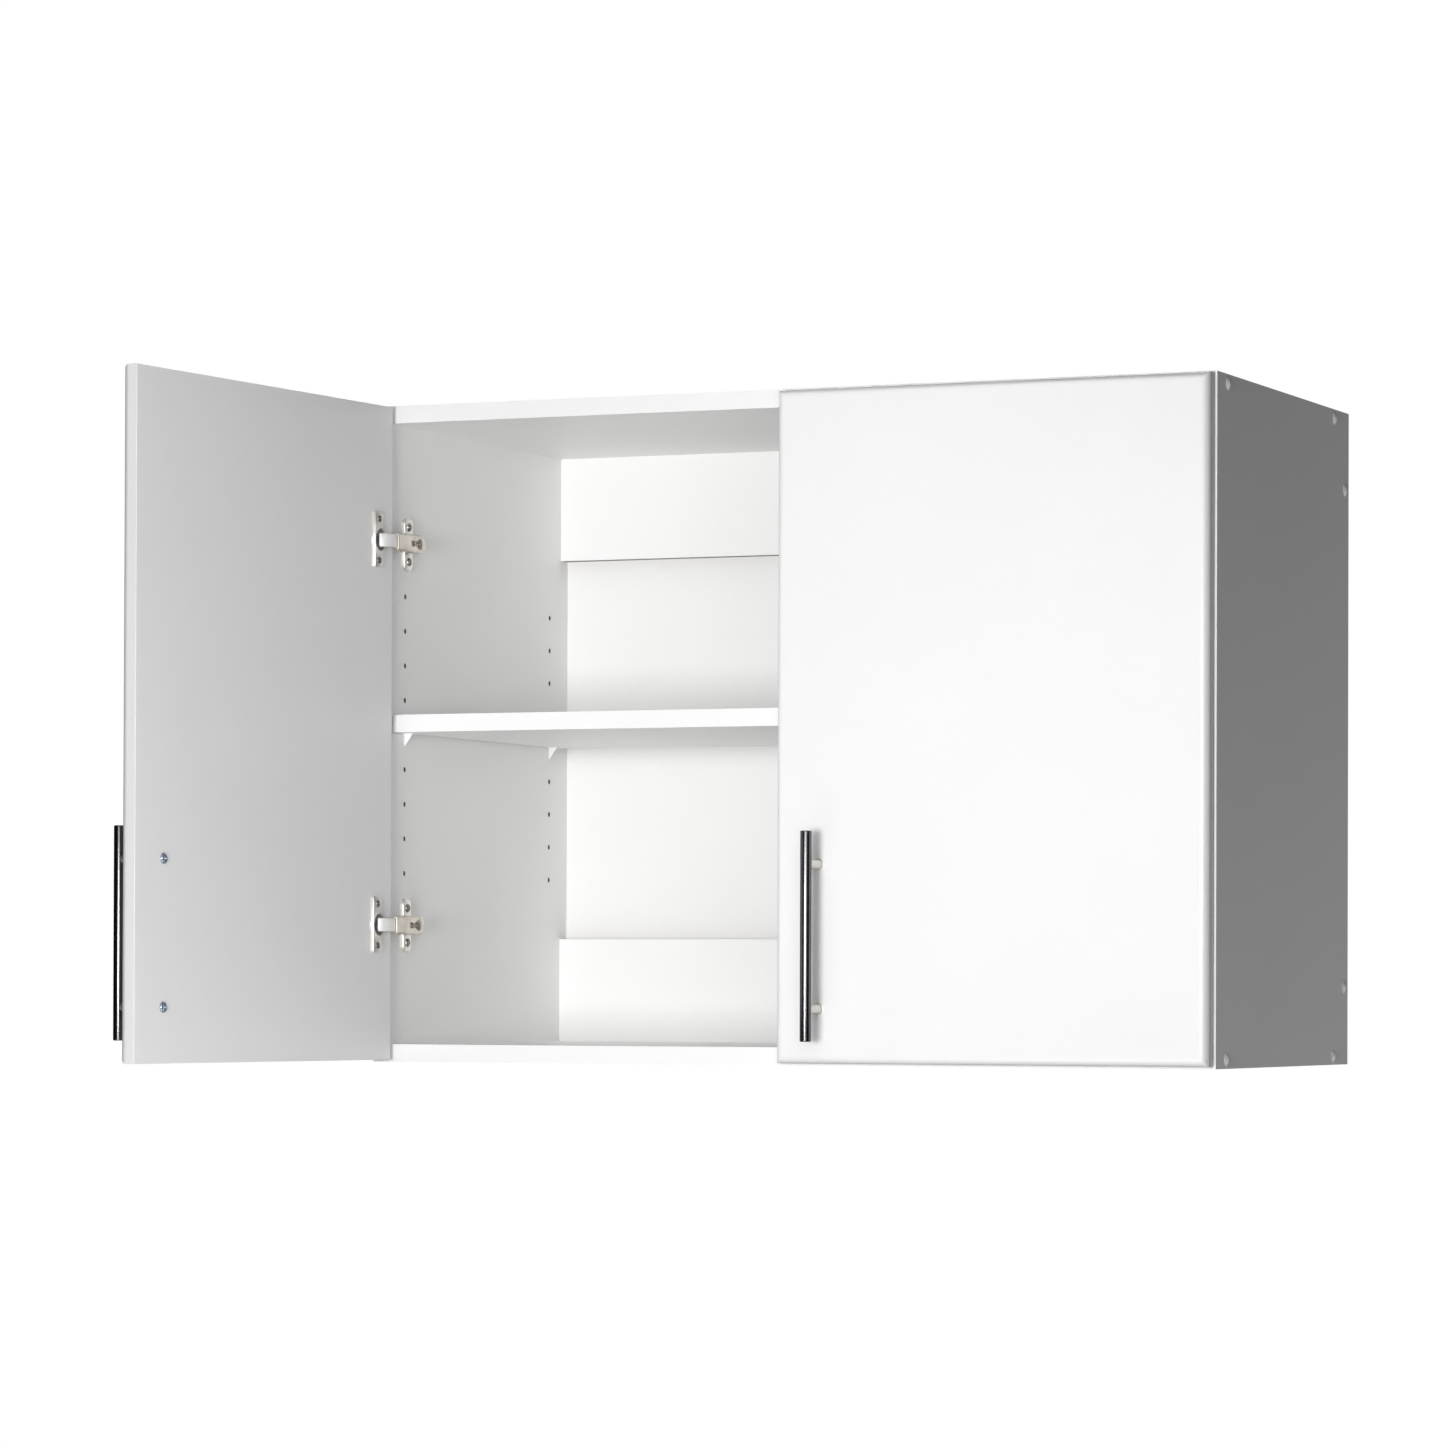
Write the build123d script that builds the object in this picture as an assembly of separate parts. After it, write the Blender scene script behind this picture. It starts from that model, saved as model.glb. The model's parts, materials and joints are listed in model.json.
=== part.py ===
from build123d import *
import math
import os

# Hanging wall cabinet with two doors, one shelf and concealed cup hinges.
# Millimetres. X runs across the front, +Y into the wall, +Z up. The origin is the centre of
# the back: Y = 0 is the wall, Z = 0 is mid height, where the hole rows are counted from.
# The left door stands open, the right door is closed.

# ---- carcass ---------------------------------------------------------------
WIDTH = 813.0
HEIGHT = 603.0
DEPTH = 388.0
BOARD = 16.0                 # thickness of every board
BAND = 0.8                   # edge banding on the front edges
RAIL_HEIGHT = 100.0          # hanging rail and lower rail
BACK_THICK = 3.0
BACK_LAP = 8.0               # how far the back panel enters each side's rabbet
BACK_CLEAR = 0.5
BACK_INSET = 2.0             # back panel's edge below the top and above the bottom

# ---- hole rows in the sides ------------------------------------------------
PITCH = 32.0
SETBACK = 30.0               # front column behind the carcass front
REAR_COLUMN = 344.0          # rear column behind the carcass front
HOLE_R = 2.5
HOLE_DEEP = 10.0
SHELF_ROWS = 4               # rows above and below mid height
HINGE_ROWS = (5, 6)          # rows that take a hinge plate's two screws

# ---- shelf and its supports ------------------------------------------------
SHELF_SIDE_GAP = 1.0
SHELF_FRONT_GAP = 4.0
SHELF_DEPTH = 368.0
SUPPORT_TOP = 1.5            # top of the support above its pin's axis
SUPPORT_WIDE = 8.0
SUPPORT_TALL = 16.0
SUPPORT_REACH = 9.5
SUPPORT_WALL = 1.6
PIN_CLEAR = 0.05
PIN_LONG = 8.0

# ---- assembly screws, caps, dowels and nails -------------------------------
SCREW_FRONT = 30.0           # screws behind the carcass front
SCREW_REAR = 344.0
RAIL_SCREW_DROP = 55.5       # below the top board and above the bottom board
SHOULDER_R = 3.5
THREAD_R = 2.5
THREAD_LONG = 34.0
HEAD_R = 4.8
HEAD_DEEP = 3.5
SOCKET_R = 2.0
SOCKET_DEEP = 3.0
FIT = 0.1                    # radial clearance of screws, dowels and nails in their holes
CAP_R = 6.0
CAP_HIGH = 2.2
DOWEL_R = 4.0
DOWEL_IN_SIDE = 10.0
DOWEL_IN_BOARD = 20.0
DOWEL_PLACES = (94.0, 280.0)  # behind the carcass front, in the top and bottom
RAIL_DOWEL_DROP = 27.5
NAIL_R = 0.7
NAIL_HEAD_R = 1.8
NAIL_HEAD = 0.5
NAIL_LONG = 16.0
NAILS_ACROSS = 5
NAILS_UP = 3

# ---- doors and handles -----------------------------------------------------
DOOR_THICK = 16.0
DOOR_GAP = 2.0               # between the carcass front and the door's back
REVEAL = 2.0                 # door's edge inside the carcass outline
CENTRE_GAP = 3.0
DOOR_ROUND = 7.5             # rounding of the door's front edges
DOOR_BACK_ROUND = 0.6
BAR_R = 5.0
BAR_LONG = 186.0
BAR_ROUND = 0.8
BAR_STAND = 30.0             # bar's axis in front of the door
POST_R = 4.0
POST_SPACING = 128.0
HANDLE_FROM_EDGE = 42.0      # posts from the door's free edge
HANDLE_FROM_END = 48.5       # lower post above the door's bottom
HANDLE_SCREW_R = 2.0
HANDLE_SCREW_IN_POST = 10.0
OPEN_ANGLE = 96.0
LINK_ANGLE = 60.0            # how far the hinge links turn while a door turns OPEN_ANGLE

# ---- concealed hinge -------------------------------------------------------
AXIS_FROM_EDGE = 6.8         # door's axis from its hinge edge
AXIS_FROM_BACK = 12.6        # door's axis in front of its back face
CUP_FROM_EDGE = 22.0
CUP_R = 13.0
CUP_DEEP = 12.5
CUP_CLEAR = 0.05
CUP_FLOOR = 0.6
CUP_MOUTH_R = 11.0
RING_R = 15.0
RING_THICK = 1.0
EAR_FROM_EDGE = 26.0
EAR_WIDE = 12.4
EAR_LONG = 51.5
EAR_THICK = 3.0
EAR_SCREWS = 38.0
ARM_FROM_CUP = 5.0           # arm's plate beside the cup's centre
ARM_METAL = 1.5
ARM_CHEEK = 1.2
ARM_NOSE_HALF = 7.6
ARM_MAIN_HALF = 8.5
ARM_TAIL_HALF = 6.2
ARM_NOSE_CHEEK = 3.5
ARM_CHEEK_DEEP = 6.0
ARM_NOSE_IN_DOOR = 11.0      # how far the closed arm reaches into the door's thickness
ARM_NOSE_BACK = 1.0          # where the shallow nose cheeks end, behind the carcass front
ARM_TAIL = 43.0              # arm's end behind the carcass front
LINK_R = 18.4
LINK_THICK = 1.5
LINK_HALF = 6.0
LINK_START = 4.0
LINK_SIDE_CLEAR = 0.9
PLATE_WIDE = 16.0
PLATE_LONG = 49.0
PLATE_THICK = 3.5
PLATE_BLOCK_HALF = 4.8
PLATE_BLOCK_FRONT = 14.0     # block's front edge behind the carcass front
PLATE_BLOCK_BACK = 46.0
ADJUST_SCREW_Y = 18.0        # adjusting screw behind the carcass front

# ---- places worked out from the sizes above --------------------------------
HALF_W = WIDTH / 2
HALF_H = HEIGHT / 2
INNER_X = HALF_W - BOARD
INNER_Z = HALF_H - BOARD
FRONT_Y = -DEPTH
COLUMN_FRONT_Y = FRONT_Y + SETBACK
COLUMN_REAR_Y = FRONT_Y + REAR_COLUMN
RAIL_Y = -BACK_THICK - BOARD / 2
RAIL_EDGE_Z = INNER_Z - RAIL_HEIGHT
SHELF_X = INNER_X - SHELF_SIDE_GAP
SHELF_FRONT_Y = FRONT_Y + SHELF_FRONT_GAP
DOOR_BACK_Y = FRONT_Y - DOOR_GAP
DOOR_FRONT_Y = DOOR_BACK_Y - DOOR_THICK
DOOR_IN_X = CENTRE_GAP / 2
DOOR_OUT_X = HALF_W - REVEAL
DOOR_HALF_H = HALF_H - REVEAL
AXIS_X = DOOR_OUT_X - AXIS_FROM_EDGE
AXIS_Y = DOOR_BACK_Y - AXIS_FROM_BACK
HINGE_Z = sum(HINGE_ROWS) / 2 * PITCH
CUP_X = DOOR_OUT_X - CUP_FROM_EDGE
EAR_X = DOOR_OUT_X - EAR_FROM_EDGE
ARM_X = CUP_X - ARM_FROM_CUP          # face of the arm's plate that rests on the block
HANDLE_X = DOOR_IN_X + HANDLE_FROM_EDGE
HANDLE_LOW_Z = -DOOR_HALF_H + HANDLE_FROM_END
HANDLE_POSTS_Z = (HANDLE_LOW_Z, HANDLE_LOW_Z + POST_SPACING)
BAR_Y = DOOR_FRONT_Y - BAR_STAND
NAIL_X = INNER_X + BACK_LAP / 2
NAIL_Z = HALF_H - BOARD / 2

# Axis directions for a rod or a screw whose head looks along that direction.
TURN_TO = {"+X": Rot(0, 90, 0), "-X": Rot(0, -90, 0), "+Y": Rot(-90, 0, 0), "-Y": Rot(90, 0, 0),
           "+Z": Rot(0, 0, 0)}


def block(x, y, z):
    """Box between the low and high value of each pair."""
    centre = Pos((x[0] + x[1]) / 2, (y[0] + y[1]) / 2, (z[0] + z[1]) / 2)
    return centre * Box(abs(x[1] - x[0]), abs(y[1] - y[0]), abs(z[1] - z[0]))


def rod(start, toward, radius, length):
    """Cylinder from a start point along one of the named directions."""
    upright = Pos(0, 0, length / 2) * Cylinder(radius, length)
    return Pos(*start) * TURN_TO[toward] * upright


def both_signs(value):
    return (value, -value)


def cross_recess(size, depth):
    """Cutter for a cross drive in a screw head whose top is at Z = 0."""
    slot = Box(size, size * 0.26, 2 * depth)
    return slot + Rot(0, 0, 90) * slot


def screw(place, faces, head_r, head, shank_r, length, flat=False):
    """Screw with its head's seat (pan) or its head's top (flat) at a place."""
    shank = Pos(0, 0, -length / 2) * Cylinder(shank_r, length)
    if flat:
        top = Pos(0, 0, -head / 2) * Cone(shank_r, head_r, head)
        shape = shank + top - cross_recess(head_r * 1.1, head * 0.6)
    else:
        top = Pos(0, 0, head / 2) * Cylinder(head_r, head)
        rim = top.edges().filter_by(GeomType.CIRCLE).sort_by(Axis.Z)[-1]
        top = fillet(rim, head * 0.55)
        shape = shank + top - Pos(0, 0, head) * cross_recess(head_r * 1.1, head * 0.6)
    return Pos(*place) * TURN_TO[faces] * shape


# ---- places of the fixings on the right-hand side --------------------------

def screw_places():
    """Y and Z of the assembly screws in one side."""
    rows = [(FRONT_Y + SCREW_FRONT, z) for z in both_signs(NAIL_Z)]
    rows += [(FRONT_Y + SCREW_REAR, z) for z in both_signs(NAIL_Z)]
    rows += [(RAIL_Y, z) for z in both_signs(INNER_Z - RAIL_SCREW_DROP)]
    return rows


def dowel_places():
    """Y and Z of the dowels in one side."""
    rows = [(FRONT_Y + y, z) for y in DOWEL_PLACES for z in both_signs(NAIL_Z)]
    return rows + [(RAIL_Y, z) for z in both_signs(INNER_Z - RAIL_DOWEL_DROP)]


def nail_places():
    """X and Z of the nails that hold the back panel."""
    span = 2 * (INNER_X - PITCH)
    across = [-span / 2 + span * i / (NAILS_ACROSS - 1) for i in range(NAILS_ACROSS)]
    rise = 2 * (RAIL_EDGE_Z - PITCH)
    up = [-rise / 2 + rise * i / (NAILS_UP - 1) for i in range(NAILS_UP)]
    places = [(x, z) for x in across for z in both_signs(NAIL_Z)]
    return places + [(x, z) for z in up for x in both_signs(NAIL_X)]


def cut_nails(board):
    """Nail holes through whatever lies behind the back panel's places."""
    for x, z in nail_places():
        board -= rod((x, FIT, z), "-Y", NAIL_R + FIT, NAIL_LONG + 2 * FIT)
    return board


def cut_end_fixings(board):
    """Pilot and dowel holes in both end faces of a board or rail."""
    for sign, toward in ((1, "-X"), (-1, "+X")):
        for y, z in screw_places():
            board -= rod((sign * INNER_X, y, z), toward, THREAD_R + FIT, THREAD_LONG + 1)
        for y, z in dowel_places():
            board -= rod((sign * INNER_X, y, z), toward, DOWEL_R + FIT, DOWEL_IN_BOARD + 1)
    return board


# ---- carcass boards --------------------------------------------------------

def side_right():
    panel = block((INNER_X, HALF_W), (FRONT_Y + BAND, 0), (-HALF_H, HALF_H))
    panel -= block((INNER_X, INNER_X + BACK_LAP), (-BACK_THICK, 0), (-HALF_H, HALF_H))
    rows = range(-SHELF_ROWS, SHELF_ROWS + 1)
    hinge_rows = [k * s for k in HINGE_ROWS for s in (1, -1)]
    holes = [(COLUMN_FRONT_Y, k * PITCH) for k in list(rows) + hinge_rows]
    holes += [(COLUMN_REAR_Y, k * PITCH) for k in rows]
    for y, z in holes:
        panel -= rod((INNER_X, y, z), "+X", HOLE_R, HOLE_DEEP)
    for y, z in screw_places():
        panel -= rod((INNER_X, y, z), "+X", SHOULDER_R + FIT, BOARD)
        panel -= rod((HALF_W, y, z), "-X", HEAD_R + FIT, HEAD_DEEP + FIT)
    for y, z in dowel_places():
        panel -= rod((INNER_X, y, z), "+X", DOWEL_R + FIT, DOWEL_IN_SIDE + 1)
    return cut_nails(panel)


def side_band_right():
    return block((INNER_X, HALF_W), (FRONT_Y, FRONT_Y + BAND), (-HALF_H, HALF_H))


def top_panel():
    panel = block((-INNER_X, INNER_X), (FRONT_Y + BAND, -BACK_THICK), (INNER_Z, HALF_H))
    return cut_nails(cut_end_fixings(panel))


def top_band():
    return block((-INNER_X, INNER_X), (FRONT_Y, FRONT_Y + BAND), (INNER_Z, HALF_H))


def hanging_rail():
    rail = block((-INNER_X, INNER_X), (-BACK_THICK - BOARD, -BACK_THICK), (RAIL_EDGE_Z, INNER_Z))
    return cut_end_fixings(rail)


def back_panel():
    reach = INNER_X + BACK_LAP - BACK_CLEAR
    rise = HALF_H - BACK_INSET
    panel = block((-reach, reach), (-BACK_THICK, 0), (-rise, rise))
    for x, z in nail_places():
        panel -= rod((x, 0, z), "-Y", NAIL_HEAD_R + FIT, NAIL_HEAD)
    return cut_nails(panel)


def back_nails():
    nails = []
    for x, z in nail_places():
        head = rod((x, 0, z), "-Y", NAIL_HEAD_R, NAIL_HEAD)
        nails.append(head + rod((x, 0, z), "-Y", NAIL_R, NAIL_LONG))
    return nails


# ---- shelf -----------------------------------------------------------------

def shelf():
    back = SHELF_FRONT_Y + SHELF_DEPTH
    return block((-SHELF_X, SHELF_X), (SHELF_FRONT_Y + BAND, back), (SUPPORT_TOP, SUPPORT_TOP + BOARD))


def shelf_band():
    front = (SHELF_FRONT_Y, SHELF_FRONT_Y + BAND)
    return block((-SHELF_X, SHELF_X), front, (SUPPORT_TOP, SUPPORT_TOP + BOARD))


def shelf_support(column_y):
    """Plastic support: a pin, a flange against the side, a ledge and a web under it."""
    low = SUPPORT_TOP - SUPPORT_TALL
    half = SUPPORT_WIDE / 2
    flange = block((INNER_X - SUPPORT_WALL, INNER_X), (-half, half), (low + half, SUPPORT_TOP))
    flange += rod((INNER_X - SUPPORT_WALL, 0, low + half), "+X", half, SUPPORT_WALL)
    ledge_x = (INNER_X - SUPPORT_REACH, INNER_X)
    ledge = block(ledge_x, (-half, half), (SUPPORT_TOP - SUPPORT_WALL, SUPPORT_TOP))
    corners = [(INNER_X - SUPPORT_REACH + 1, SUPPORT_TOP), (INNER_X, SUPPORT_TOP), (INNER_X, low + half)]
    web_face = Plane.XZ * make_face(Polyline(*corners, close=True))
    web = extrude(web_face, SUPPORT_WALL / 2, both=True)
    pin = rod((INNER_X, 0, 0), "+X", HOLE_R - PIN_CLEAR, PIN_LONG)
    return Pos(0, column_y, 0) * (flange + ledge + web + pin)


# ---- screws, caps and dowels of the right-hand side ------------------------

def assembly_screws():
    screws = []
    for y, z in screw_places():
        head = rod((HALF_W - FIT, y, z), "-X", HEAD_R, HEAD_DEEP)
        shoulder = rod((HALF_W - HEAD_DEEP, y, z), "-X", SHOULDER_R, BOARD - HEAD_DEEP)
        thread = rod((INNER_X, y, z), "-X", THREAD_R, THREAD_LONG)
        screws.append(head + shoulder + thread - rod((HALF_W, y, z), "-X", SOCKET_R, SOCKET_DEEP))
    return screws


def cover_caps():
    """Domed plastic caps, each with a stem in its screw's socket."""
    ball_r = (CAP_R**2 + CAP_HIGH**2) / (2 * CAP_HIGH)
    profile = RadiusArc((CAP_R, 0), (0, CAP_HIGH), -ball_r) + Polyline((0, CAP_HIGH), (0, 0), (CAP_R, 0))
    dome = revolve(Plane.XZ * make_face(profile), Axis.Z)
    caps = []
    for y, z in screw_places():
        stem = rod((HALF_W, y, z), "-X", SOCKET_R - FIT, SOCKET_DEEP - 0.5)
        caps.append(Pos(HALF_W, y, z) * TURN_TO["+X"] * dome + stem)
    return caps


def dowels():
    length = DOWEL_IN_SIDE + DOWEL_IN_BOARD
    return [rod((INNER_X + DOWEL_IN_SIDE, y, z), "-X", DOWEL_R, length) for y, z in dowel_places()]


# ---- right-hand door, closed -----------------------------------------------

def door():
    panel = block((DOOR_IN_X, DOOR_OUT_X), (DOOR_FRONT_Y, DOOR_BACK_Y), (-DOOR_HALF_H, DOOR_HALF_H))
    panel = fillet(panel.faces().sort_by(Axis.Y)[0].edges(), DOOR_ROUND)
    panel = fillet(panel.faces().sort_by(Axis.Y)[-1].edges(), DOOR_BACK_ROUND)
    for hinge_z in both_signs(HINGE_Z):
        panel -= rod((CUP_X, DOOR_BACK_Y, hinge_z), "-Y", CUP_R, CUP_DEEP)
        for z in both_signs(EAR_SCREWS / 2):
            panel -= rod((EAR_X, DOOR_BACK_Y, hinge_z + z), "-Y", 1.5 + FIT, 10)
    for z in HANDLE_POSTS_Z:
        panel -= rod((HANDLE_X, DOOR_BACK_Y, z), "-Y", HANDLE_SCREW_R + 0.5, DOOR_THICK)
    return panel


def handle_bar():
    bar = rod((HANDLE_X, BAR_Y, sum(HANDLE_POSTS_Z) / 2 - BAR_LONG / 2), "+Z", BAR_R, BAR_LONG)
    return fillet(bar.edges().filter_by(GeomType.CIRCLE), BAR_ROUND)


def handle_posts():
    """Posts from the door's face to the bar, each drilled for its screw and saddled to the bar."""
    saddle = rod((HANDLE_X, BAR_Y, -HALF_H), "+Z", BAR_R + 0.02, HEIGHT)
    posts = []
    for z in HANDLE_POSTS_Z:
        post = rod((HANDLE_X, DOOR_FRONT_Y, z), "-Y", POST_R, BAR_STAND) - saddle
        drilled = HANDLE_SCREW_IN_POST + 1
        posts.append(post - rod((HANDLE_X, DOOR_FRONT_Y, z), "-Y", HANDLE_SCREW_R + FIT, drilled))
    return [post.solids().sort_by(Axis.Y)[-1] for post in posts]


def handle_screws():
    length = DOOR_THICK + HANDLE_SCREW_IN_POST
    return [screw((HANDLE_X, DOOR_BACK_Y, z), "+Y", 4.0, 2.4, HANDLE_SCREW_R, length)
            for z in HANDLE_POSTS_Z]


# ---- right-hand hinge, closed, at height z ---------------------------------

def hinge_cup(z):
    cup = rod((CUP_X, DOOR_BACK_Y, z), "-Y", CUP_R - CUP_CLEAR, CUP_DEEP - 0.2)
    cup += rod((CUP_X, DOOR_BACK_Y, z), "+Y", RING_R, RING_THICK)
    ears = block((EAR_X - EAR_WIDE / 2, EAR_X + EAR_WIDE / 2), (DOOR_BACK_Y, DOOR_BACK_Y + EAR_THICK),
                 (z - EAR_LONG / 2, z + EAR_LONG / 2))
    ears = fillet(ears.edges().filter_by(Axis.Y), EAR_WIDE * 0.4)
    ears = fillet(ears.faces().sort_by(Axis.Y)[-1].edges(), 0.6)
    cup += ears
    cavity_floor = DOOR_BACK_Y - CUP_DEEP + 0.2 + CUP_FLOOR
    cup -= rod((CUP_X, cavity_floor, z), "+Y", CUP_MOUTH_R, CUP_DEEP + EAR_THICK)
    for ear_z in both_signs(EAR_SCREWS / 2):
        top = (EAR_X, DOOR_BACK_Y + EAR_THICK, z + ear_z)
        cup -= Pos(*top) * TURN_TO["+Y"] * (Pos(0, 0, -0.9) * Cone(1.6, 3.4, 1.8))
        cup -= rod(top, "-Y", 1.6, EAR_THICK)
    return cup


def cup_screws(z):
    top_y = DOOR_BACK_Y + EAR_THICK - 0.15
    return [screw((EAR_X, top_y, z + s), "+Y", 3.1, 1.6, 1.5, EAR_THICK + 9, flat=True)
            for s in both_signs(EAR_SCREWS / 2)]


def hinge_arm(z):
    """Pressed channel: a plate towards the room and two cheeks towards the side."""
    nose_y = DOOR_BACK_Y - ARM_NOSE_IN_DOOR
    step_y = FRONT_Y + ARM_NOSE_BACK
    tail_y = FRONT_Y + ARM_TAIL

    def outline(inset, overrun):
        half = [(nose_y - overrun, ARM_NOSE_HALF - inset), (step_y, ARM_NOSE_HALF - inset),
                (step_y + 3, ARM_MAIN_HALF - inset), (COLUMN_FRONT_Y, ARM_MAIN_HALF - inset),
                (tail_y + overrun, ARM_TAIL_HALF - inset)]
        loop = half + [(y, -h) for y, h in reversed(half)]
        return Plane.YZ * make_face(Polyline(*loop, close=True))

    arm = Pos(ARM_X - ARM_METAL, 0, 0) * extrude(outline(0, 0), ARM_METAL + ARM_CHEEK_DEEP)
    arm -= Pos(ARM_X, 0, 0) * extrude(outline(ARM_CHEEK, 2), ARM_CHEEK_DEEP + 1)
    cheek_end = ARM_X + ARM_CHEEK_DEEP + 1
    arm -= block((ARM_X + ARM_NOSE_CHEEK, cheek_end), (nose_y - 1, step_y), (-ARM_MAIN_HALF, ARM_MAIN_HALF))
    arm = fillet(arm.faces().sort_by(Axis.X)[0].edges(), 0.5)
    for y in (COLUMN_FRONT_Y, FRONT_Y + ADJUST_SCREW_Y):
        arm -= rod((ARM_X - ARM_METAL, y, 0), "+X", 2.0 + FIT, ARM_METAL)
    return Pos(0, 0, z) * arm


def hinge_plate(z):
    """Mounting plate: wings screwed to the side, and the block that the arm sits on."""
    base_x = INNER_X - PLATE_THICK
    wings = block((base_x, INNER_X), (COLUMN_FRONT_Y - PLATE_WIDE / 2, COLUMN_FRONT_Y + PLATE_WIDE / 2),
                  (-PLATE_LONG / 2, PLATE_LONG / 2))
    wings = fillet(wings.edges().filter_by(Axis.X), PLATE_WIDE * 0.35)
    wings = fillet(wings.faces().sort_by(Axis.X)[0].edges(), 0.8)
    plate = wings + block((ARM_X, INNER_X), (FRONT_Y + PLATE_BLOCK_FRONT, FRONT_Y + PLATE_BLOCK_BACK),
                          both_signs(PLATE_BLOCK_HALF))
    for y in (COLUMN_FRONT_Y, FRONT_Y + ADJUST_SCREW_Y):
        plate -= rod((ARM_X, y, 0), "+X", 2.0 + FIT, 9)
    for s in both_signs(PITCH / 2):
        plate -= rod((base_x, COLUMN_FRONT_Y, s), "+X", HOLE_R, PLATE_THICK)
    return Pos(0, 0, z) * plate


def plate_screws(z):
    return [screw((INNER_X - PLATE_THICK, COLUMN_FRONT_Y, z + s), "-X", 3.9, 1.7, HOLE_R - PIN_CLEAR,
                  PLATE_THICK + HOLE_DEEP - 1) for s in both_signs(PITCH / 2)]


def arm_screws(z):
    fixing = screw((ARM_X - ARM_METAL, COLUMN_FRONT_Y, z), "-X", 4.0, 2.0, 2.0, ARM_METAL + 8)
    adjuster = screw((ARM_X - ARM_METAL, FRONT_Y + ADJUST_SCREW_Y, z), "-X", 2.8, 0.9, 2.0, ARM_METAL + 8)
    return [fixing, adjuster]


def hinge_link(z):
    """Curved link from inside the cup to under the arm, an arc about the door's axis."""
    outer = Cylinder(LINK_R + LINK_THICK, 2 * LINK_HALF)
    ring = outer - Cylinder(LINK_R, 2 * LINK_HALF)
    end = math.degrees(math.acos((AXIS_X - INNER_X + LINK_SIDE_CLEAR) / LINK_R))
    far = 3 * LINK_R
    rays = [math.radians(180 - a) for a in (LINK_START, (LINK_START + end) / 2, end)]
    wedge_points = [(0, 0)] + [(far * math.cos(a), far * math.sin(a)) for a in rays]
    wedge = extrude(make_face(Polyline(*wedge_points, close=True)), LINK_HALF + 1, both=True)
    return Pos(AXIS_X, AXIS_Y, z) * (ring & wedge)


# ---- assembly --------------------------------------------------------------

def mirrored(part):
    """The same piece, or list of separate solids, on the left-hand side."""
    if isinstance(part, list):
        return [mirrored(piece) for piece in part]
    return mirror(part, about=Plane.YZ)


def swung(part, angle):
    """A left-hand piece, or list of solids, turned open about the left door's axis."""
    if isinstance(part, list):
        return [swung(piece, angle) for piece in part]
    return part.rotate(Axis((-AXIS_X, AXIS_Y, 0), (0, 0, 1)), -angle)


def carcass_nodes():
    nodes = {"side_right": side_right(), "edge_band_side_right": side_band_right(),
             "assembly_screws_right": assembly_screws(), "cover_caps_right": cover_caps(),
             "dowels_right": dowels()}
    nodes.update({name.replace("right", "left"): mirrored(part) for name, part in nodes.items()})
    nodes["top_panel"] = top_panel()
    nodes["bottom_panel"] = mirror(nodes["top_panel"], about=Plane.XY)
    nodes["edge_band_top"] = top_band()
    nodes["edge_band_bottom"] = mirror(nodes["edge_band_top"], about=Plane.XY)
    nodes["hanging_rail"] = hanging_rail()
    nodes["lower_rail"] = mirror(nodes["hanging_rail"], about=Plane.XY)
    nodes["back_panel"] = back_panel()
    nodes["back_nails"] = back_nails()
    for place, y in (("front", COLUMN_FRONT_Y), ("rear", COLUMN_REAR_Y)):
        nodes[f"shelf_support_right_{place}"] = shelf_support(y)
        nodes[f"shelf_support_left_{place}"] = mirrored(shelf_support(y))
    return nodes


def door_nodes():
    """Nodes that swing with the right-hand door, shown closed."""
    nodes = {"door_right": door(), "handle_bar_right": handle_bar(), "handle_posts_right": handle_posts(),
             "handle_screws_right": handle_screws()}
    nodes["cup_screws_right"] = cup_screws(HINGE_Z) + cup_screws(-HINGE_Z)
    nodes["hinge_cup_right_upper"] = hinge_cup(HINGE_Z)
    nodes["hinge_cup_right_lower"] = hinge_cup(-HINGE_Z)
    return nodes


def fixed_hinge_nodes():
    """Hinge nodes that stay on the right-hand side of the carcass."""
    nodes = {"plate_screws_right": plate_screws(HINGE_Z) + plate_screws(-HINGE_Z),
             "arm_screws_right": arm_screws(HINGE_Z) + arm_screws(-HINGE_Z)}
    for place, z in (("upper", HINGE_Z), ("lower", -HINGE_Z)):
        nodes[f"hinge_arm_right_{place}"] = hinge_arm(z)
        nodes[f"hinge_plate_right_{place}"] = hinge_plate(z)
    return nodes


def link_nodes():
    return {"hinge_link_right_upper": hinge_link(HINGE_Z), "hinge_link_right_lower": hinge_link(-HINGE_Z)}


def all_nodes():
    nodes = carcass_nodes()
    nodes["shelf"] = shelf()
    nodes["edge_band_shelf"] = shelf_band()
    for build, opened in ((fixed_hinge_nodes, 0), (door_nodes, OPEN_ANGLE), (link_nodes, LINK_ANGLE)):
        for name, part in build().items():
            nodes[name] = part
            left = mirrored(part)
            nodes[name.replace("right", "left")] = swung(left, opened) if opened else left
    return nodes


os.makedirs("parts", exist_ok=True)
for node_name, node_part in all_nodes().items():
    node_shape = Compound(children=node_part) if isinstance(node_part, list) else node_part
    export_step(node_shape, f"parts/{node_name}.step")
    print(f"{node_name:28s} solids {len(node_shape.solids()):2d}")
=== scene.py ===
import json
import logging
import math
from dataclasses import dataclass, field, replace
from enum import Enum
from typing import Callable, Iterable, Sequence

import bmesh
import bpy
from mathutils import Matrix, Vector

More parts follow.
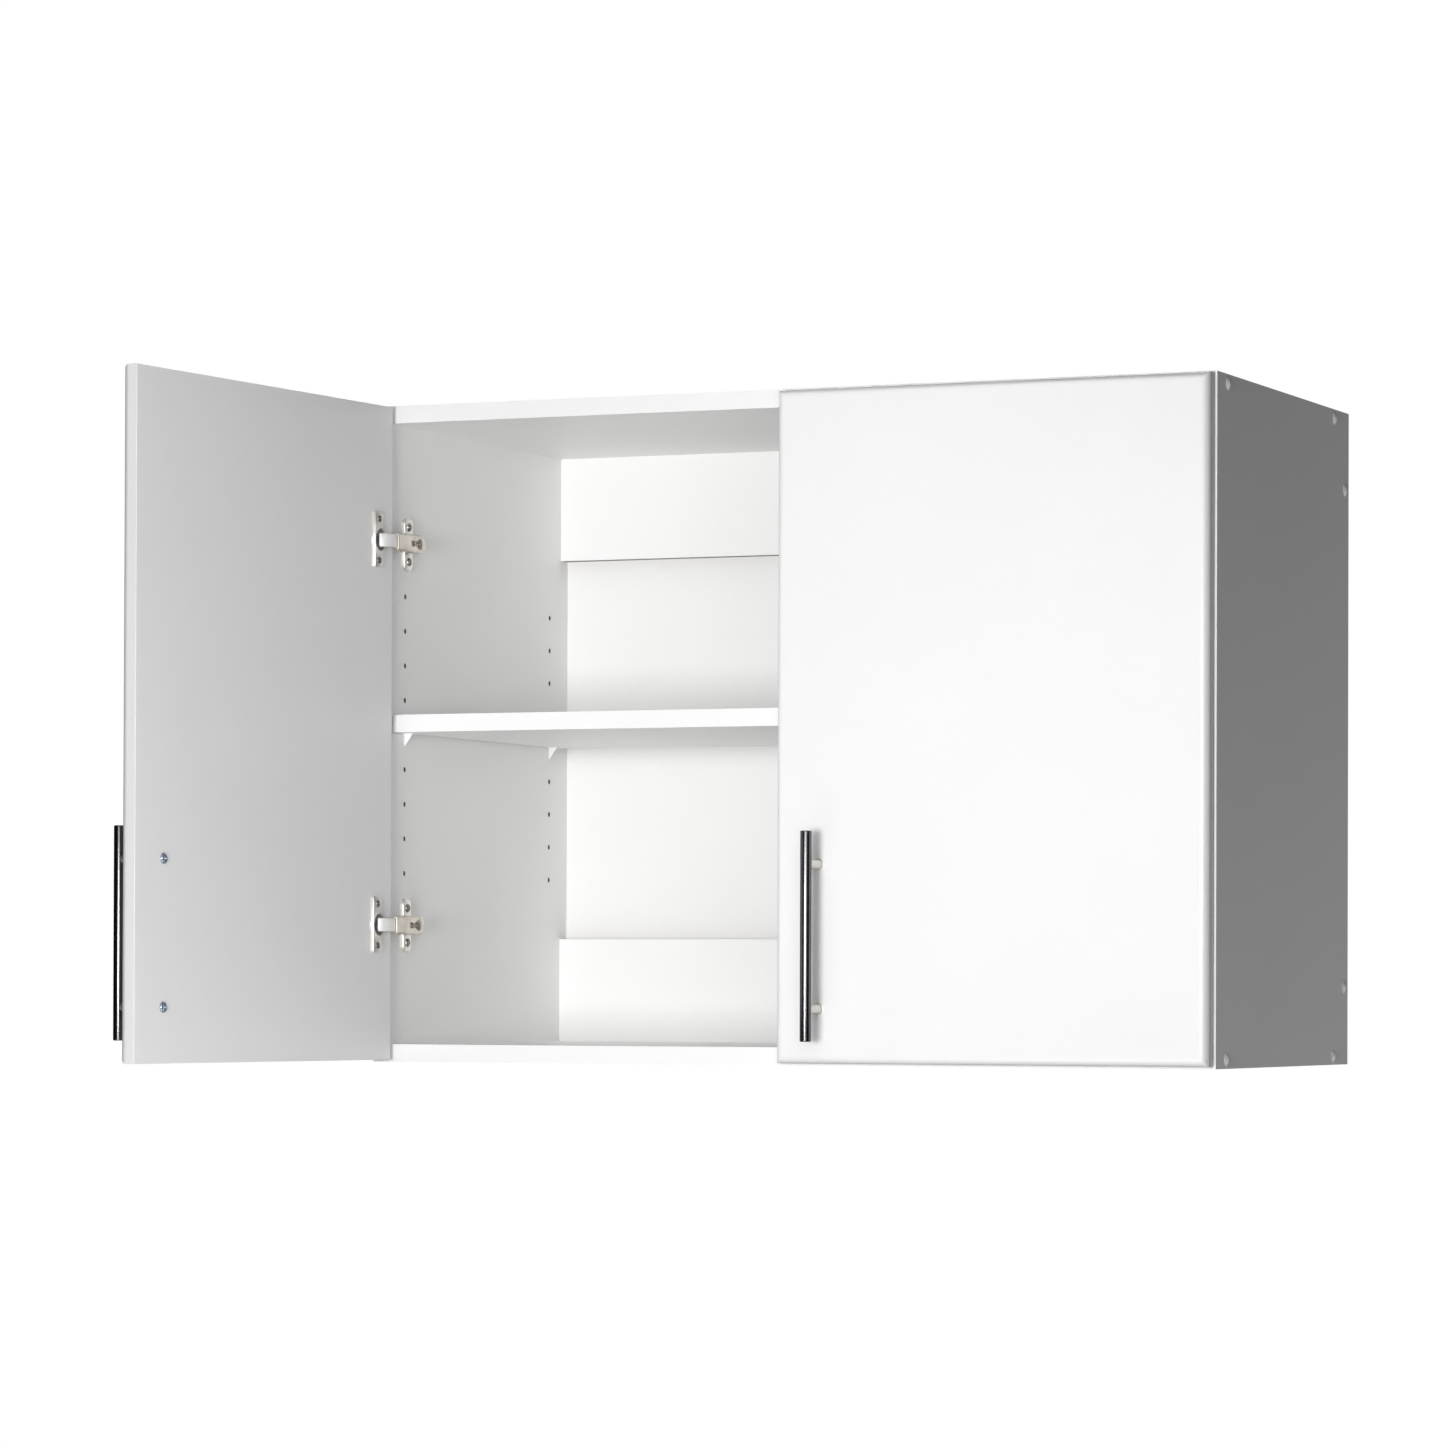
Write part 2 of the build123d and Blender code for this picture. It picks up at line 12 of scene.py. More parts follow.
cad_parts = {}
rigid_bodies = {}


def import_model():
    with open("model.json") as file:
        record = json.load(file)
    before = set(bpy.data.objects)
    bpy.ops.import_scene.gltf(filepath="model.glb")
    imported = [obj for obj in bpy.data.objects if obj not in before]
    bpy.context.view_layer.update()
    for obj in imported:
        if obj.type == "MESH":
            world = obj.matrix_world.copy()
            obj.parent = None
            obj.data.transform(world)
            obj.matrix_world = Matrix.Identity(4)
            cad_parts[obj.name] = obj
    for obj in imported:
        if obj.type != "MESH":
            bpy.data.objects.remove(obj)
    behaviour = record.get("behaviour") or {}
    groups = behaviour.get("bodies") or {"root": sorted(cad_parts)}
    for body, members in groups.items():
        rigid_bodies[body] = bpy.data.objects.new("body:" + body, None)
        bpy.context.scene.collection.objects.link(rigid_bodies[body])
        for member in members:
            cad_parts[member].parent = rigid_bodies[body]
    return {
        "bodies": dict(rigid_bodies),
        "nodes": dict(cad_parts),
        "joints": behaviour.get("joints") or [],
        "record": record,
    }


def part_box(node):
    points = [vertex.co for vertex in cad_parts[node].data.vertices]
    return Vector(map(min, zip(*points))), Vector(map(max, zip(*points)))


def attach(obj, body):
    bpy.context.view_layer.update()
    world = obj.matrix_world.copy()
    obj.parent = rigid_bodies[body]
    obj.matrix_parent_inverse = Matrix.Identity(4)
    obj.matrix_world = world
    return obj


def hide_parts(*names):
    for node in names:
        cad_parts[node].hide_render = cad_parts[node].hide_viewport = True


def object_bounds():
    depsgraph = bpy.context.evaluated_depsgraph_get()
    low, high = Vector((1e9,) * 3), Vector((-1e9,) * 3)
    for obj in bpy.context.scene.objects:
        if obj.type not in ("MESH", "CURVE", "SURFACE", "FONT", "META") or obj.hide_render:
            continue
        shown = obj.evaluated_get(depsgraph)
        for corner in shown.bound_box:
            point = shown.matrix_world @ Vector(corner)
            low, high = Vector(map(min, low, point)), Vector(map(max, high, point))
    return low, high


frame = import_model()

CAD_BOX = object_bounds()

logging.basicConfig(level=logging.INFO, format="%(message)s")
LOG = logging.getLogger("wall_cabinet")

MM = 0.001
Point = tuple[float, float]
Colour = tuple[float, float, float]
Shape = bmesh.types.BMesh
Socket = bpy.types.NodeSocket


# ---------------------------------------------------------------- shader tools

def _arithmetic(operation: str) -> Callable[["Signal", "Signal | float"], "Signal"]:
    """Make the Signal method that applies one Math operation to self and another value."""
    def apply(self: "Signal", other: "Signal | float") -> "Signal":
        return self._maths(operation, self, other)
    return apply


class Signal:
    """A number that varies over a surface, wrapped so that arithmetic adds Math nodes."""

    def __init__(self, sheet: "ShaderSheet", socket: Socket) -> None:
        """Keep the sheet that owns the socket and the socket itself."""
        self.sheet = sheet
        self.socket = socket

    def _maths(self, operation: str, first: "Signal | float", second: "Signal | float",
               clamp: bool = False) -> "Signal":
        """Add one Math node and return its result, held between 0 and 1 if clamped."""
        node = self.sheet.add("ShaderNodeMath", {"operation": operation, "use_clamp": clamp},
                              {0: first, 1: second})
        return Signal(self.sheet, node.outputs[0])

    __add__ = __radd__ = _arithmetic("ADD")
    __sub__ = _arithmetic("SUBTRACT")
    __mul__ = _arithmetic("MULTIPLY")
    __truediv__ = _arithmetic("DIVIDE")

    def size(self) -> "Signal":
        """Return self without its sign."""
        return self._maths("ABSOLUTE", self, 0.0)

    def held(self) -> "Signal":
        """Return self held between 0 and 1."""
        return self._maths("ADD", self, 0.0, clamp=True)

    def band(self, low: float, high: float) -> "Signal":
        """Return 0 at low and 1 at high, held between them."""
        return ((self - low) / (high - low)).held()


class ShaderSheet:
    """The node tree of one finish, with one method that makes every node."""

    def __init__(self, name: str) -> None:
        """Start a material whose only nodes are a Principled shader and the output."""
        self.material = bpy.data.materials.new(name)
        self.material.use_nodes = True
        self.tree = self.material.node_tree
        self.tree.nodes.clear()
        self.shader = self.add("ShaderNodeBsdfPrincipled")
        self.add("ShaderNodeOutputMaterial", {}, {"Surface": self.shader.outputs["BSDF"]})
        self.place = self.add("ShaderNodeTexCoord").outputs["Object"]

    def add(self, kind: str, settings: dict | None = None, inputs: dict | None = None) -> bpy.types.Node:
        """Make a node, set its settings, then fill or link its sockets.

        Args:
            kind: the node's type name.
            settings: attributes set first; "stops" holds a ramp's (position, colour) pairs.
            inputs: socket name or index to a value, a socket, a node's output or a Signal.

        Returns:
            The new node.
        """
        node = self.tree.nodes.new(kind)
        for key, value in (settings or {}).items():
            if key == "stops":
                self._fill_ramp(node.color_ramp, value)
            else:
                setattr(node, key, value)
        for key, value in (inputs or {}).items():
            source = value.socket if isinstance(value, Signal) else value
            if isinstance(source, Socket):
                self.tree.links.new(source, node.inputs[key])
            else:
                node.inputs[key].default_value = source
        return node

    @staticmethod
    def _fill_ramp(ramp: bpy.types.ColorRamp, stops: Sequence[tuple[float, Colour]]) -> None:
        """Give a colour ramp its stops."""
        while len(ramp.elements) < len(stops):
            ramp.elements.new(1.0)
        for element, (position, colour) in zip(ramp.elements, stops):
            element.position = position
            element.color = (*colour, 1.0)

    def noise(self, scale: float, detail: float = 2.0, stretch: Colour = (1, 1, 1),
              roughness: float = 0.5) -> Signal:
        """Noise over the object's own coordinates.

        Args:
            scale: cells per metre.
            detail: octaves.
            stretch: factor on each axis; a small factor draws the pattern out along it.
            roughness: weight of the finer octaves.

        Returns:
            The noise value, about 0.5 on average.
        """
        mapped = self.add("ShaderNodeMapping", {"vector_type": "POINT"},
                          {"Vector": self.place, "Scale": stretch})
        node = self.add("ShaderNodeTexNoise", {"noise_dimensions": "3D"},
                        {"Vector": mapped.outputs[0], "Scale": scale, "Detail": detail,
                         "Roughness": roughness})
        return Signal(self, node.outputs[0])

    def cells(self, scale: float) -> Signal:
        """Random grey per Voronoi cell, with a number of cells per metre."""
        node = self.add("ShaderNodeTexVoronoi", {"feature": "F1"}, {"Vector": self.place, "Scale": scale})
        grey = self.add("ShaderNodeRGBToBW", {}, {0: node.outputs["Color"]})
        return Signal(self, grey.outputs[0])

    def along(self, axis: int) -> Signal:
        """The object's own coordinate along an axis, in metres."""
        return Signal(self, self.add("ShaderNodeSeparateXYZ", {}, {0: self.place}).outputs[axis])

    def mixed(self, low: Colour | Socket, high: Colour | Socket,
              amount: Signal) -> Socket:
        """Blend two colours or colour sockets by a signal and return the colour socket."""
        ends = [end if isinstance(end, Socket) else (*end, 1.0) for end in (low, high)]
        node = self.add("ShaderNodeMix", {"data_type": "RGBA"}, {0: amount, 6: ends[0], 7: ends[1]})
        return node.outputs[2]

    def set_base(self, colour: Socket) -> None:
        """Link the base colour."""
        self.tree.links.new(colour, self.shader.inputs["Base Color"])

    def set_rough(self, rough: Signal) -> None:
        """Link the roughness."""
        self.tree.links.new(rough.socket, self.shader.inputs["Roughness"])

    def set_relief(self, height: Signal, depth: float, strength: float = 1.0) -> None:
        """Drive the normal from a height signal.

        Args:
            height: relief from 0 to 1.
            depth: metres between 0 and 1.
            strength: how much of the bump shows.
        """
        bump = self.add("ShaderNodeBump", {}, {"Height": height, "Distance": depth, "Strength": strength})
        self.tree.links.new(bump.outputs[0], self.shader.inputs["Normal"])

    def set_plain(self, **values: float | tuple) -> None:
        """Set constant values straight on the shader's sockets, named with underscores for spaces."""
        for name, value in values.items():
            self.shader.inputs[name.replace("_", " ")].default_value = value


# ---------------------------------------------------------------- finishes

@dataclass(frozen=True)
class Core:
    """Bare chipboard between a board's two facings, its browns kept at half tone as painted shade in
    drilled holes and along raw edges.
    """

    axis: int
    middle: float
    half: float
    facing: float = 0.3 * MM
    blend: float = 0.1 * MM
    chips_per_m: float = 520.0
    # chipboard browns at half their tone: painted shade that darkens hole walls and raw edges
    pale: Colour = (0.23, 0.16, 0.10)
    dark: Colour = (0.08, 0.055, 0.035)


@dataclass(frozen=True)
class BoardFinish:
    """Satin white facing: faint mottling, a pearl relief and nearly even gloss."""

    name: str
    slot: str
    light: Colour
    shade: Colour
    gloss: float = 0.42
    gloss_swing: float = 0.02
    pearl_per_m: float = 1400.0
    pearl_depth: float = 0.000018
    mottle_per_m: float = 9.0
    drawn: Colour = (1.0, 1.0, 1.0)
    core: Core | None = None

    def make(self) -> bpy.types.Material:
        """Build the material."""
        sheet = ShaderSheet(self.name)
        mottle = sheet.noise(self.mottle_per_m, 3.0)
        speck = sheet.noise(self.pearl_per_m * 0.5, 1.0, self.drawn)
        base = sheet.mixed(self.light, self.shade, (mottle * 0.6 + speck * 0.4).band(0.35, 0.75))
        if self.core:
            depth = (sheet.along(self.core.axis) - self.core.middle).size()
            under = self.core.half - self.core.facing
            facing = depth.band(under - self.core.blend, under)
            # the chip colours carry painted shade as well as the chipboard's own brown
            shaded_chips = sheet.mixed(self.core.dark, self.core.pale, sheet.cells(self.core.chips_per_m))
            base = sheet.mixed(shaded_chips, base, facing)
        sheet.set_base(base)
        pearl = sheet.noise(self.pearl_per_m, 2.0, self.drawn)
        smear = sheet.noise(22.0, 2.0)
        sheet.set_rough(self.gloss - self.gloss_swing / 2 + smear * self.gloss_swing + pearl * 0.04)
        sheet.set_relief(pearl, self.pearl_depth)
        sheet.set_plain(Specular_IOR_Level=0.45)
        return sheet.material


@dataclass(frozen=True)
class PlasticFinish:
    """Moulded plastic: soft orange-peel relief and a light sheen of flow marks."""

    name: str
    slot: str
    light: Colour = (0.95, 0.95, 0.94)
    shade: Colour = (0.89, 0.89, 0.88)
    gloss: float = 0.30

    def make(self) -> bpy.types.Material:
        """Build the material."""
        sheet = ShaderSheet(self.name)
        flow = sheet.noise(160.0, 2.0, (1.0, 1.0, 0.3))
        peel = sheet.noise(1900.0, 1.0)
        sheet.set_base(sheet.mixed(self.light, self.shade, flow.band(0.3, 0.8)))
        sheet.set_rough(self.gloss + flow * 0.12)
        sheet.set_relief(peel, 0.000015)
        return sheet.material


@dataclass(frozen=True)
class BrushedFinish:
    """Metal drawn along one axis: long fine streaks in gloss, tone and relief."""

    name: str
    slot: str
    light: Colour = (0.22, 0.21, 0.22)
    shade: Colour = (0.12, 0.12, 0.13)
    gloss: float = 0.19
    edge_tint: Colour = (0.30, 0.30, 0.34)
    along: Colour = (1.0, 1.0, 0.02)

    def make(self) -> bpy.types.Material:
        """Build the material."""
        sheet = ShaderSheet(self.name)
        streak = sheet.noise(5200.0, 3.0, self.along, 0.7)
        patch = sheet.noise(60.0, 2.0)
        sheet.set_base(sheet.mixed(self.shade, self.light, (streak * 0.7 + patch * 0.3).band(0.3, 0.7)))
        sheet.set_rough(self.gloss + streak * 0.05 + patch * 0.03)
        sheet.set_relief(streak, 0.0000005)
        sheet.set_plain(Metallic=1.0, Specular_Tint=(*self.edge_tint, 1.0))
        return sheet.material


@dataclass(frozen=True)
class PlatedFinish:
    """Plated pressing or casting: cloudy tone, handling marks and faint crystal spangle."""

    name: str
    slot: str
    light: Colour
    shade: Colour
    gloss: float = 0.22
    spangle_per_m: float = 900.0
    spangle: float = 0.10
    grit_depth: float = 0.000010
    metal: float = 1.0

    def make(self) -> bpy.types.Material:
        """Build the material."""
        sheet = ShaderSheet(self.name)
        cloud = sheet.noise(140.0, 3.0)
        crystal = sheet.cells(self.spangle_per_m)
        grit = sheet.noise(3800.0, 1.0)
        tone = (cloud * (1 - self.spangle) + crystal * self.spangle).band(0.3, 0.7)
        sheet.set_base(sheet.mixed(self.shade, self.light, tone))
        sheet.set_rough(self.gloss + cloud * 0.12 + crystal * 0.05)
        sheet.set_relief(grit, self.grit_depth)
        sheet.set_plain(Metallic=self.metal)
        return sheet.material


@dataclass(frozen=True)
class BeechFinish:
    """Turned beech: pale ground, short darker flecks along the dowel and open pores."""

    name: str
    slot: str
    light: Colour = (0.74, 0.56, 0.36)
    shade: Colour = (0.55, 0.37, 0.20)

    def make(self) -> bpy.types.Material:
        """Build the material."""
        sheet = ShaderSheet(self.name)
        fleck = sheet.noise(1500.0, 2.0, (0.15, 1.0, 1.0))
        figure = sheet.noise(240.0, 3.0, (0.1, 1.0, 1.0))
        sheet.set_base(sheet.mixed(self.light, self.shade, (fleck * 0.5 + figure * 0.5).band(0.35, 0.7)))
        sheet.set_rough(0.62 + fleck * 0.15)
        sheet.set_relief(fleck, 0.00005)
        return sheet.material


@dataclass(frozen=True)
class FloorFinish:
    """Plain pale studio floor."""

    name: str
    slot: str = ""

    def make(self) -> bpy.types.Material:
        """Build the material."""
        sheet = ShaderSheet(self.name)
        cloud = sheet.noise(1.4, 3.0)
        sheet.set_base(sheet.mixed((0.86, 0.86, 0.86), (0.82, 0.82, 0.82), cloud.band(0.3, 0.7)))
        sheet.set_rough(0.6 + cloud * 0.1)
        return sheet.material


class Finish(Enum):
    """Every finish on the cabinet."""

    MELAMINE = BoardFinish("white_melamine", "melamine_board", (0.93, 0.93, 0.925), (0.91, 0.91, 0.905))
    EDGE = BoardFinish("white_edge_band", "edge_banding", (0.85, 0.85, 0.845), (0.82, 0.82, 0.815),
                       gloss=0.36, pearl_per_m=1800.0)
    DOOR = BoardFinish("white_door_foil", "door_foil", (0.81, 0.81, 0.812), (0.79, 0.79, 0.793),
                       gloss=0.34, gloss_swing=0.06, pearl_per_m=900.0, pearl_depth=0.000012)
    BACK = BoardFinish("lacquered_back", "back_board", (0.93, 0.93, 0.925), (0.91, 0.91, 0.905),
                       gloss=0.5, pearl_per_m=700.0, pearl_depth=0.00003)
    PLASTIC = PlasticFinish("white_moulding", "white_plastic")
    BRUSHED = BrushedFinish("brushed_bar", "brushed_steel")
    POST = PlatedFinish("satin_posts", "brushed_steel", (0.74, 0.71, 0.67), (0.64, 0.61, 0.57), gloss=0.36)
    NICKEL = PlatedFinish("nickel_pressing", "nickel_plate", (0.76, 0.71, 0.64), (0.58, 0.53, 0.47))
    CASTING = PlatedFinish("nickel_casting", "nickel_plate", (0.95, 0.93, 0.89), (0.80, 0.77, 0.72),
                           gloss=0.30, grit_depth=0.00002)
    LINK = PlatedFinish("bright_link", "nickel_plate", (0.96, 0.96, 0.95), (0.90, 0.90, 0.89), gloss=0.38,
                        metal=0.35)
    SCREW = PlatedFinish("nickel_screws", "nickel_plate", (0.46, 0.43, 0.40), (0.28, 0.26, 0.24),
                         gloss=0.14)
    ZINC = PlatedFinish("zinc_screws", "zinc_screw", (0.56, 0.61, 0.70), (0.36, 0.40, 0.48),
                        gloss=0.20, spangle_per_m=2400.0, spangle=0.3)
    BEECH = BeechFinish("beech_dowels", "beech_dowel")
    FLOOR = FloorFinish("studio_floor")


class FinishShelf:
    """Makes each material once and hands it out."""

    def __init__(self) -> None:
        """Start with nothing made."""
        self._made: dict[Finish, bpy.types.Material] = {}

    def take(self, finish: Finish) -> bpy.types.Material:
        """Return the finish's material, made on first use."""
        if finish not in self._made:
            self._made[finish] = finish.value.make()
        return self._made[finish]


# ---------------------------------------------------------------- mesh tools

def tidy_mesh(bm: Shape, merge: float = 1e-6) -> Shape:
    """Merge doubles and point the faces outwards."""
    bmesh.ops.remove_doubles(bm, verts=bm.verts[:], dist=merge)
    bmesh.ops.recalc_face_normals(bm, faces=bm.faces[:])
    return bm


def round_edges(bm: Shape, edges: list[bmesh.types.BMEdge], radius: float,
                segments: int) -> None:
    """Round the given edges of a shape over."""
    bmesh.ops.bevel(bm, geom=edges, offset=radius, offset_type="OFFSET", segments=segments, profile=0.5,
                    affect="EDGES", material=-1)


def put_in_scene(name: str, data: bpy.types.ID) -> bpy.types.Object:
    """Make an object of its data and link it to the scene."""
    thing = bpy.data.objects.new(name, data)
    bpy.context.scene.collection.objects.link(thing)
    return thing


def lathe(profile: Sequence[Point], steps: int = 48) -> Shape:
    """Turn a profile about Z.

    Args:
        profile: (radius, height) points that start and end on the axis or meet each other.
        steps: facets round the axis.

    Returns:
        The closed turned shape.
    """
    bm = bmesh.new()
    verts = [bm.verts.new((radius, 0.0, height)) for radius, height in profile]
    edges = [bm.edges.new(pair) for pair in zip(verts, verts[1:])]
    bmesh.ops.spin(bm, geom=verts + edges, cent=(0, 0, 0), axis=(0, 0, 1), angle=2 * math.pi,
                   steps=steps, use_merge=True, use_duplicate=False)
    return tidy_mesh(bm)


def prism(outline: Sequence[Point], thick: float, soften: float = 0.0,
          segments: int = 3) -> Shape:
    """Stand a flat outline up into a plate.

    Args:
        outline: corners in X and Y.
        thick: height along Z from 0.
        soften: width of the rounding on the upper rim.
        segments: facets of that rounding.

    Returns:
        The plate.
    """
    bm = bmesh.new()
    face = bm.faces.new([bm.verts.new((x, y, 0.0)) for x, y in outline])
    grown = bmesh.ops.extrude_face_region(bm, geom=[face])["geom"]
    raised = [item for item in grown if isinstance(item, bmesh.types.BMVert)]
    bmesh.ops.translate(bm, verts=raised, vec=(0, 0, thick))
    tidy_mesh(bm)
    if soften:
        rim = [e for e in bm.edges if all(v.co.z > thick * 0.99 for v in e.verts)]
        round_edges(bm, rim, soften, segments)
    return tidy_mesh(bm)


def soft_block(size: Vector, radius: float, segments: int = 3) -> Shape:
    """A block centred on the origin with every edge rounded."""
    bm = bmesh.new()
    bmesh.ops.create_cube(bm, size=1.0)
    bmesh.ops.scale(bm, vec=size, verts=bm.verts[:])
    round_edges(bm, bm.edges[:], radius, segments)
    return tidy_mesh(bm)


def arc(centre: Point, radius: float, start: float, stop: float, steps: int) -> list[Point]:
    """Points on an arc, with angles in degrees."""
    turns = [math.radians(start + (stop - start) * i / steps) for i in range(steps + 1)]
    return [(centre[0] + radius * math.cos(t), centre[1] + radius * math.sin(t)) for t in turns]


def rounded_outline(half_x: float, half_y: float, radius: float, steps: int = 6) -> list[Point]:
    """Corners of a rounded rectangle about the origin, anticlockwise."""
    points: list[Point] = []
    for turn, (sx, sy) in enumerate(((1, 1), (-1, 1), (-1, -1), (1, -1))):
        centre = (sx * (half_x - radius), sy * (half_y - radius))
        points += arc(centre, radius, 90 * turn, 90 * (turn + 1), steps)
    return points


def joined(shapes: Iterable[Shape]) -> Shape:
    """Put several shapes in one mesh."""
    whole = bmesh.new()
    for shape in shapes:
        loose = bpy.data.meshes.new("loose")
        shape.to_mesh(loose)
        shape.free()
        whole.from_mesh(loose)
        bpy.data.meshes.remove(loose)
    return whole


def moved(shape: Shape, matrix: Matrix) -> Shape:
    """Transform a shape in place and return it."""
    shape.transform(matrix)
    if matrix.determinant() < 0:
        bmesh.ops.reverse_faces(shape, faces=shape.faces[:])
    return shape


def looking(direction: str) -> Matrix:
    """Turn that carries +Z to a named direction."""
    turns = {"+X": (math.pi / 2, "Y"), "-X": (-math.pi / 2, "Y"), "+Y": (-math.pi / 2, "X"),
             "-Y": (math.pi / 2, "X"), "+Z": (0.0, "X")}
    return Matrix.Rotation(turns[direction][0], 4, turns[direction][1])


def quarter_turn() -> Matrix:
    """Turn about Z that swaps an outline's X and Y before it is laid against a side."""
    return Matrix.Rotation(math.pi / 2, 4, "Z")


# ---------------------------------------------------------------- hands and pieces

class Hand(Enum):
    """The two mirrored sides of the cabinet."""

    RIGHT = "right"
    LEFT = "left"


class Swing(Enum):
    """What a hinge-side piece turns with at rest."""

    FIXED = ""
    DOOR = "door_swing"
    LINKS = "links_swing"


@dataclass
class Workshop:
    """Turns shapes drawn on the right-hand side, doors closed, into finished pieces."""

    packed: dict
    finishes: FinishShelf = field(default_factory=FinishShelf)
    smooth_angle: float = math.radians(32)

    def joint(self, name: str) -> dict:
        """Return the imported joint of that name."""
        return next(j for j in self.packed["joints"] if j["name"] == name)

    def into_place(self, hand: Hand, swing: Swing) -> Matrix:
        """Matrix from the right-hand closed place to a hand's place at rest.

        Args:
            hand: which side the piece is on.
            swing: the joint it turns with.

        Returns:
            A mirror for the left, then the left door's or links' open turn.
        """
        if hand is Hand.RIGHT:
            return Matrix.Identity(4)
        mirror = Matrix.Scale(-1, 4, (1, 0, 0))
        if swing is Swing.FIXED:
            return mirror
        joint = self.joint(f"left_{swing.value}")
        pivot = Matrix.Translation(joint["pos_m"])
        turn = Matrix.Rotation(-math.radians(joint["range_deg"][1]), 4, "Z")
        return pivot @ turn @ pivot.inverted() @ mirror

    def body(self, hand: Hand, swing: Swing) -> str:
        """Name of the body that a hand's piece rides on."""
        names = {Swing.FIXED: "carcass", Swing.DOOR: f"{hand.value}_door",
                 Swing.LINKS: f"{hand.value}_hinge_links"}
        return names[swing]

    def deliver(self, shape: Shape, name: str, body: str, finish: Finish,
                stands_for: Sequence[str] = ()) -> bpy.types.Object:
        """Make a finished piece of a shape and hand it to the frame.

        Args:
            shape: the mesh, already in its place at rest.
            name: the piece's name.
            body: the CAD body that it rides on.
            finish: its finish.
            stands_for: CAD nodes that it replaces.

        Returns:
            The new object.
        """
        for face in shape.faces:
            face.smooth = True
        for edge in shape.edges:
            if len(edge.link_faces) == 2:
                edge.smooth = edge.calc_face_angle() < self.smooth_angle
        mesh = bpy.data.meshes.new(name)
        shape.to_mesh(mesh)
        shape.free()
        piece = put_in_scene(name, mesh)
        mesh.materials.append(self.finishes.take(finish))
        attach(piece, body)
        if stands_for:
            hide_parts(*stands_for)
        LOG.info("%-28s %6d faces  rides %s", name, len(mesh.polygons), body)
        return piece

    def even_normals(self, piece: bpy.types.Object) -> None:
        """Weight a piece's normals by face area, so that flat faces stay flat beside a rounding."""
        weighted = piece.modifiers.new("even_normals", "WEIGHTED_NORMAL")
        weighted.keep_sharp = True
        weighted.weight = 100

    def copy_node(self, node: str) -> Shape:
        """Return a merged copy of a CAD node's mesh."""
        shape = bmesh.new()
        shape.from_mesh(self.packed["nodes"][node].data)
        bmesh.ops.remove_doubles(shape, verts=shape.verts[:], dist=1e-6)
        return shape


# ---------------------------------------------------------------- small hardware

@dataclass(frozen=True)
class CrossScrew:
    """A pan-head screw with a cross drive, its head's seat at the origin and facing +Z."""

    head_r: float
    head_high: float
    shank_r: float
    length: float
    steps: int = 32
    recess_share: float = 0.68
    recess_deep: float = 0.75
    drive_core: float = 0.34
    drive_arm: float = 18.0

    def shape(self) -> Shape:
        """Turn the screw, then sink the cross into its crown."""
        r, h = self.head_r, self.head_high
        crown = [(0, h), (r * self.drive_core, h), (r * self.recess_share, h * 0.96), (r * 0.82, h * 0.84),
                 (r * 0.94, h * 0.62), (r, h * 0.3), (r * 0.99, 0), (self.shank_r, 0),
                 (self.shank_r, -self.length * 0.9), (self.shank_r * 0.4, -self.length), (0, -self.length)]
        bm = lathe(crown, self.steps)
        cross = [f for f in bm.faces if self._in_cross(f.calc_center_median())]
        grown = bmesh.ops.extrude_face_region(bm, geom=cross)["geom"]
        sunk = [v for v in grown if isinstance(v, bmesh.types.BMVert)]
        bmesh.ops.delete(bm, geom=cross, context="FACES")
        bmesh.ops.translate(bm, verts=sunk, vec=(0, 0, -h * self.recess_deep))
        return tidy_mesh(bm)

    def _in_cross(self, centre: Vector) -> bool:
        """Whether a crown face lies in the drive's cross."""
        reach = math.hypot(centre.x, centre.y)
        if centre.z < self.head_high * 0.9 or reach > self.head_r * self.recess_share * 0.98:
            return False
        turn = math.degrees(math.atan2(centre.y, centre.x)) % 90
        return reach < self.head_r * self.drive_core or abs(turn - 45) > 45 - self.drive_arm


@dataclass
class CoverCaps:
    """Domed caps over the assembly screws, each with a thin rim against the side."""

    workshop: Workshop
    radius: float = 6.0 * MM
    high: float = 2.2 * MM
    rim: float = 0.35 * MM

    def cap(self) -> Shape:
        """One cap, its rim's seat at the origin and facing +Z."""
        ball = (self.radius**2 + self.high**2) / (2 * self.high)
        sweep = math.degrees(math.asin((self.radius - self.rim) / ball))
        dome = [(x, z) for z, x in arc((self.high - ball, 0), ball, 0, sweep, 8)]
        profile = dome + [(self.radius, self.rim), (self.radius, 0), (0, 0)]
        return lathe(profile, 40)

    def build(self, hand: Hand) -> None:
        """Cover the screws of one side."""
        centres = self._centres("cover_caps_right")
        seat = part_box("side_right")[1].x
        caps = [moved(self.cap(), Matrix.Translation((seat, y, z)) @ looking("+X")) for y, z in centres]
        shape = moved(joined(caps), self.workshop.into_place(hand, Swing.FIXED))
        self.workshop.deliver(shape, f"screw_caps_{hand.value}", "carcass", Finish.PLASTIC,
                              [f"cover_caps_{hand.value}"])

    def _centres(self, node: str) -> list[Point]:
        """Y and Z of each cap, from the islands of the CAD node."""
        shape = self.workshop.copy_node(node)
        centres: list[Point] = []
        waiting = set(shape.verts)
        while waiting:
            island, edge_of = set(), [waiting.pop()]
            while edge_of:
                vert = edge_of.pop()
                island.add(vert)
                near = {e.other_vert(vert) for e in vert.link_edges} & waiting
                waiting -= near
                edge_of += near
            ys, zs = [v.co.y for v in island], [v.co.z for v in island]
            centres.append(((min(ys) + max(ys)) / 2, (min(zs) + max(zs)) / 2))
        shape.free()
        return sorted(centres)


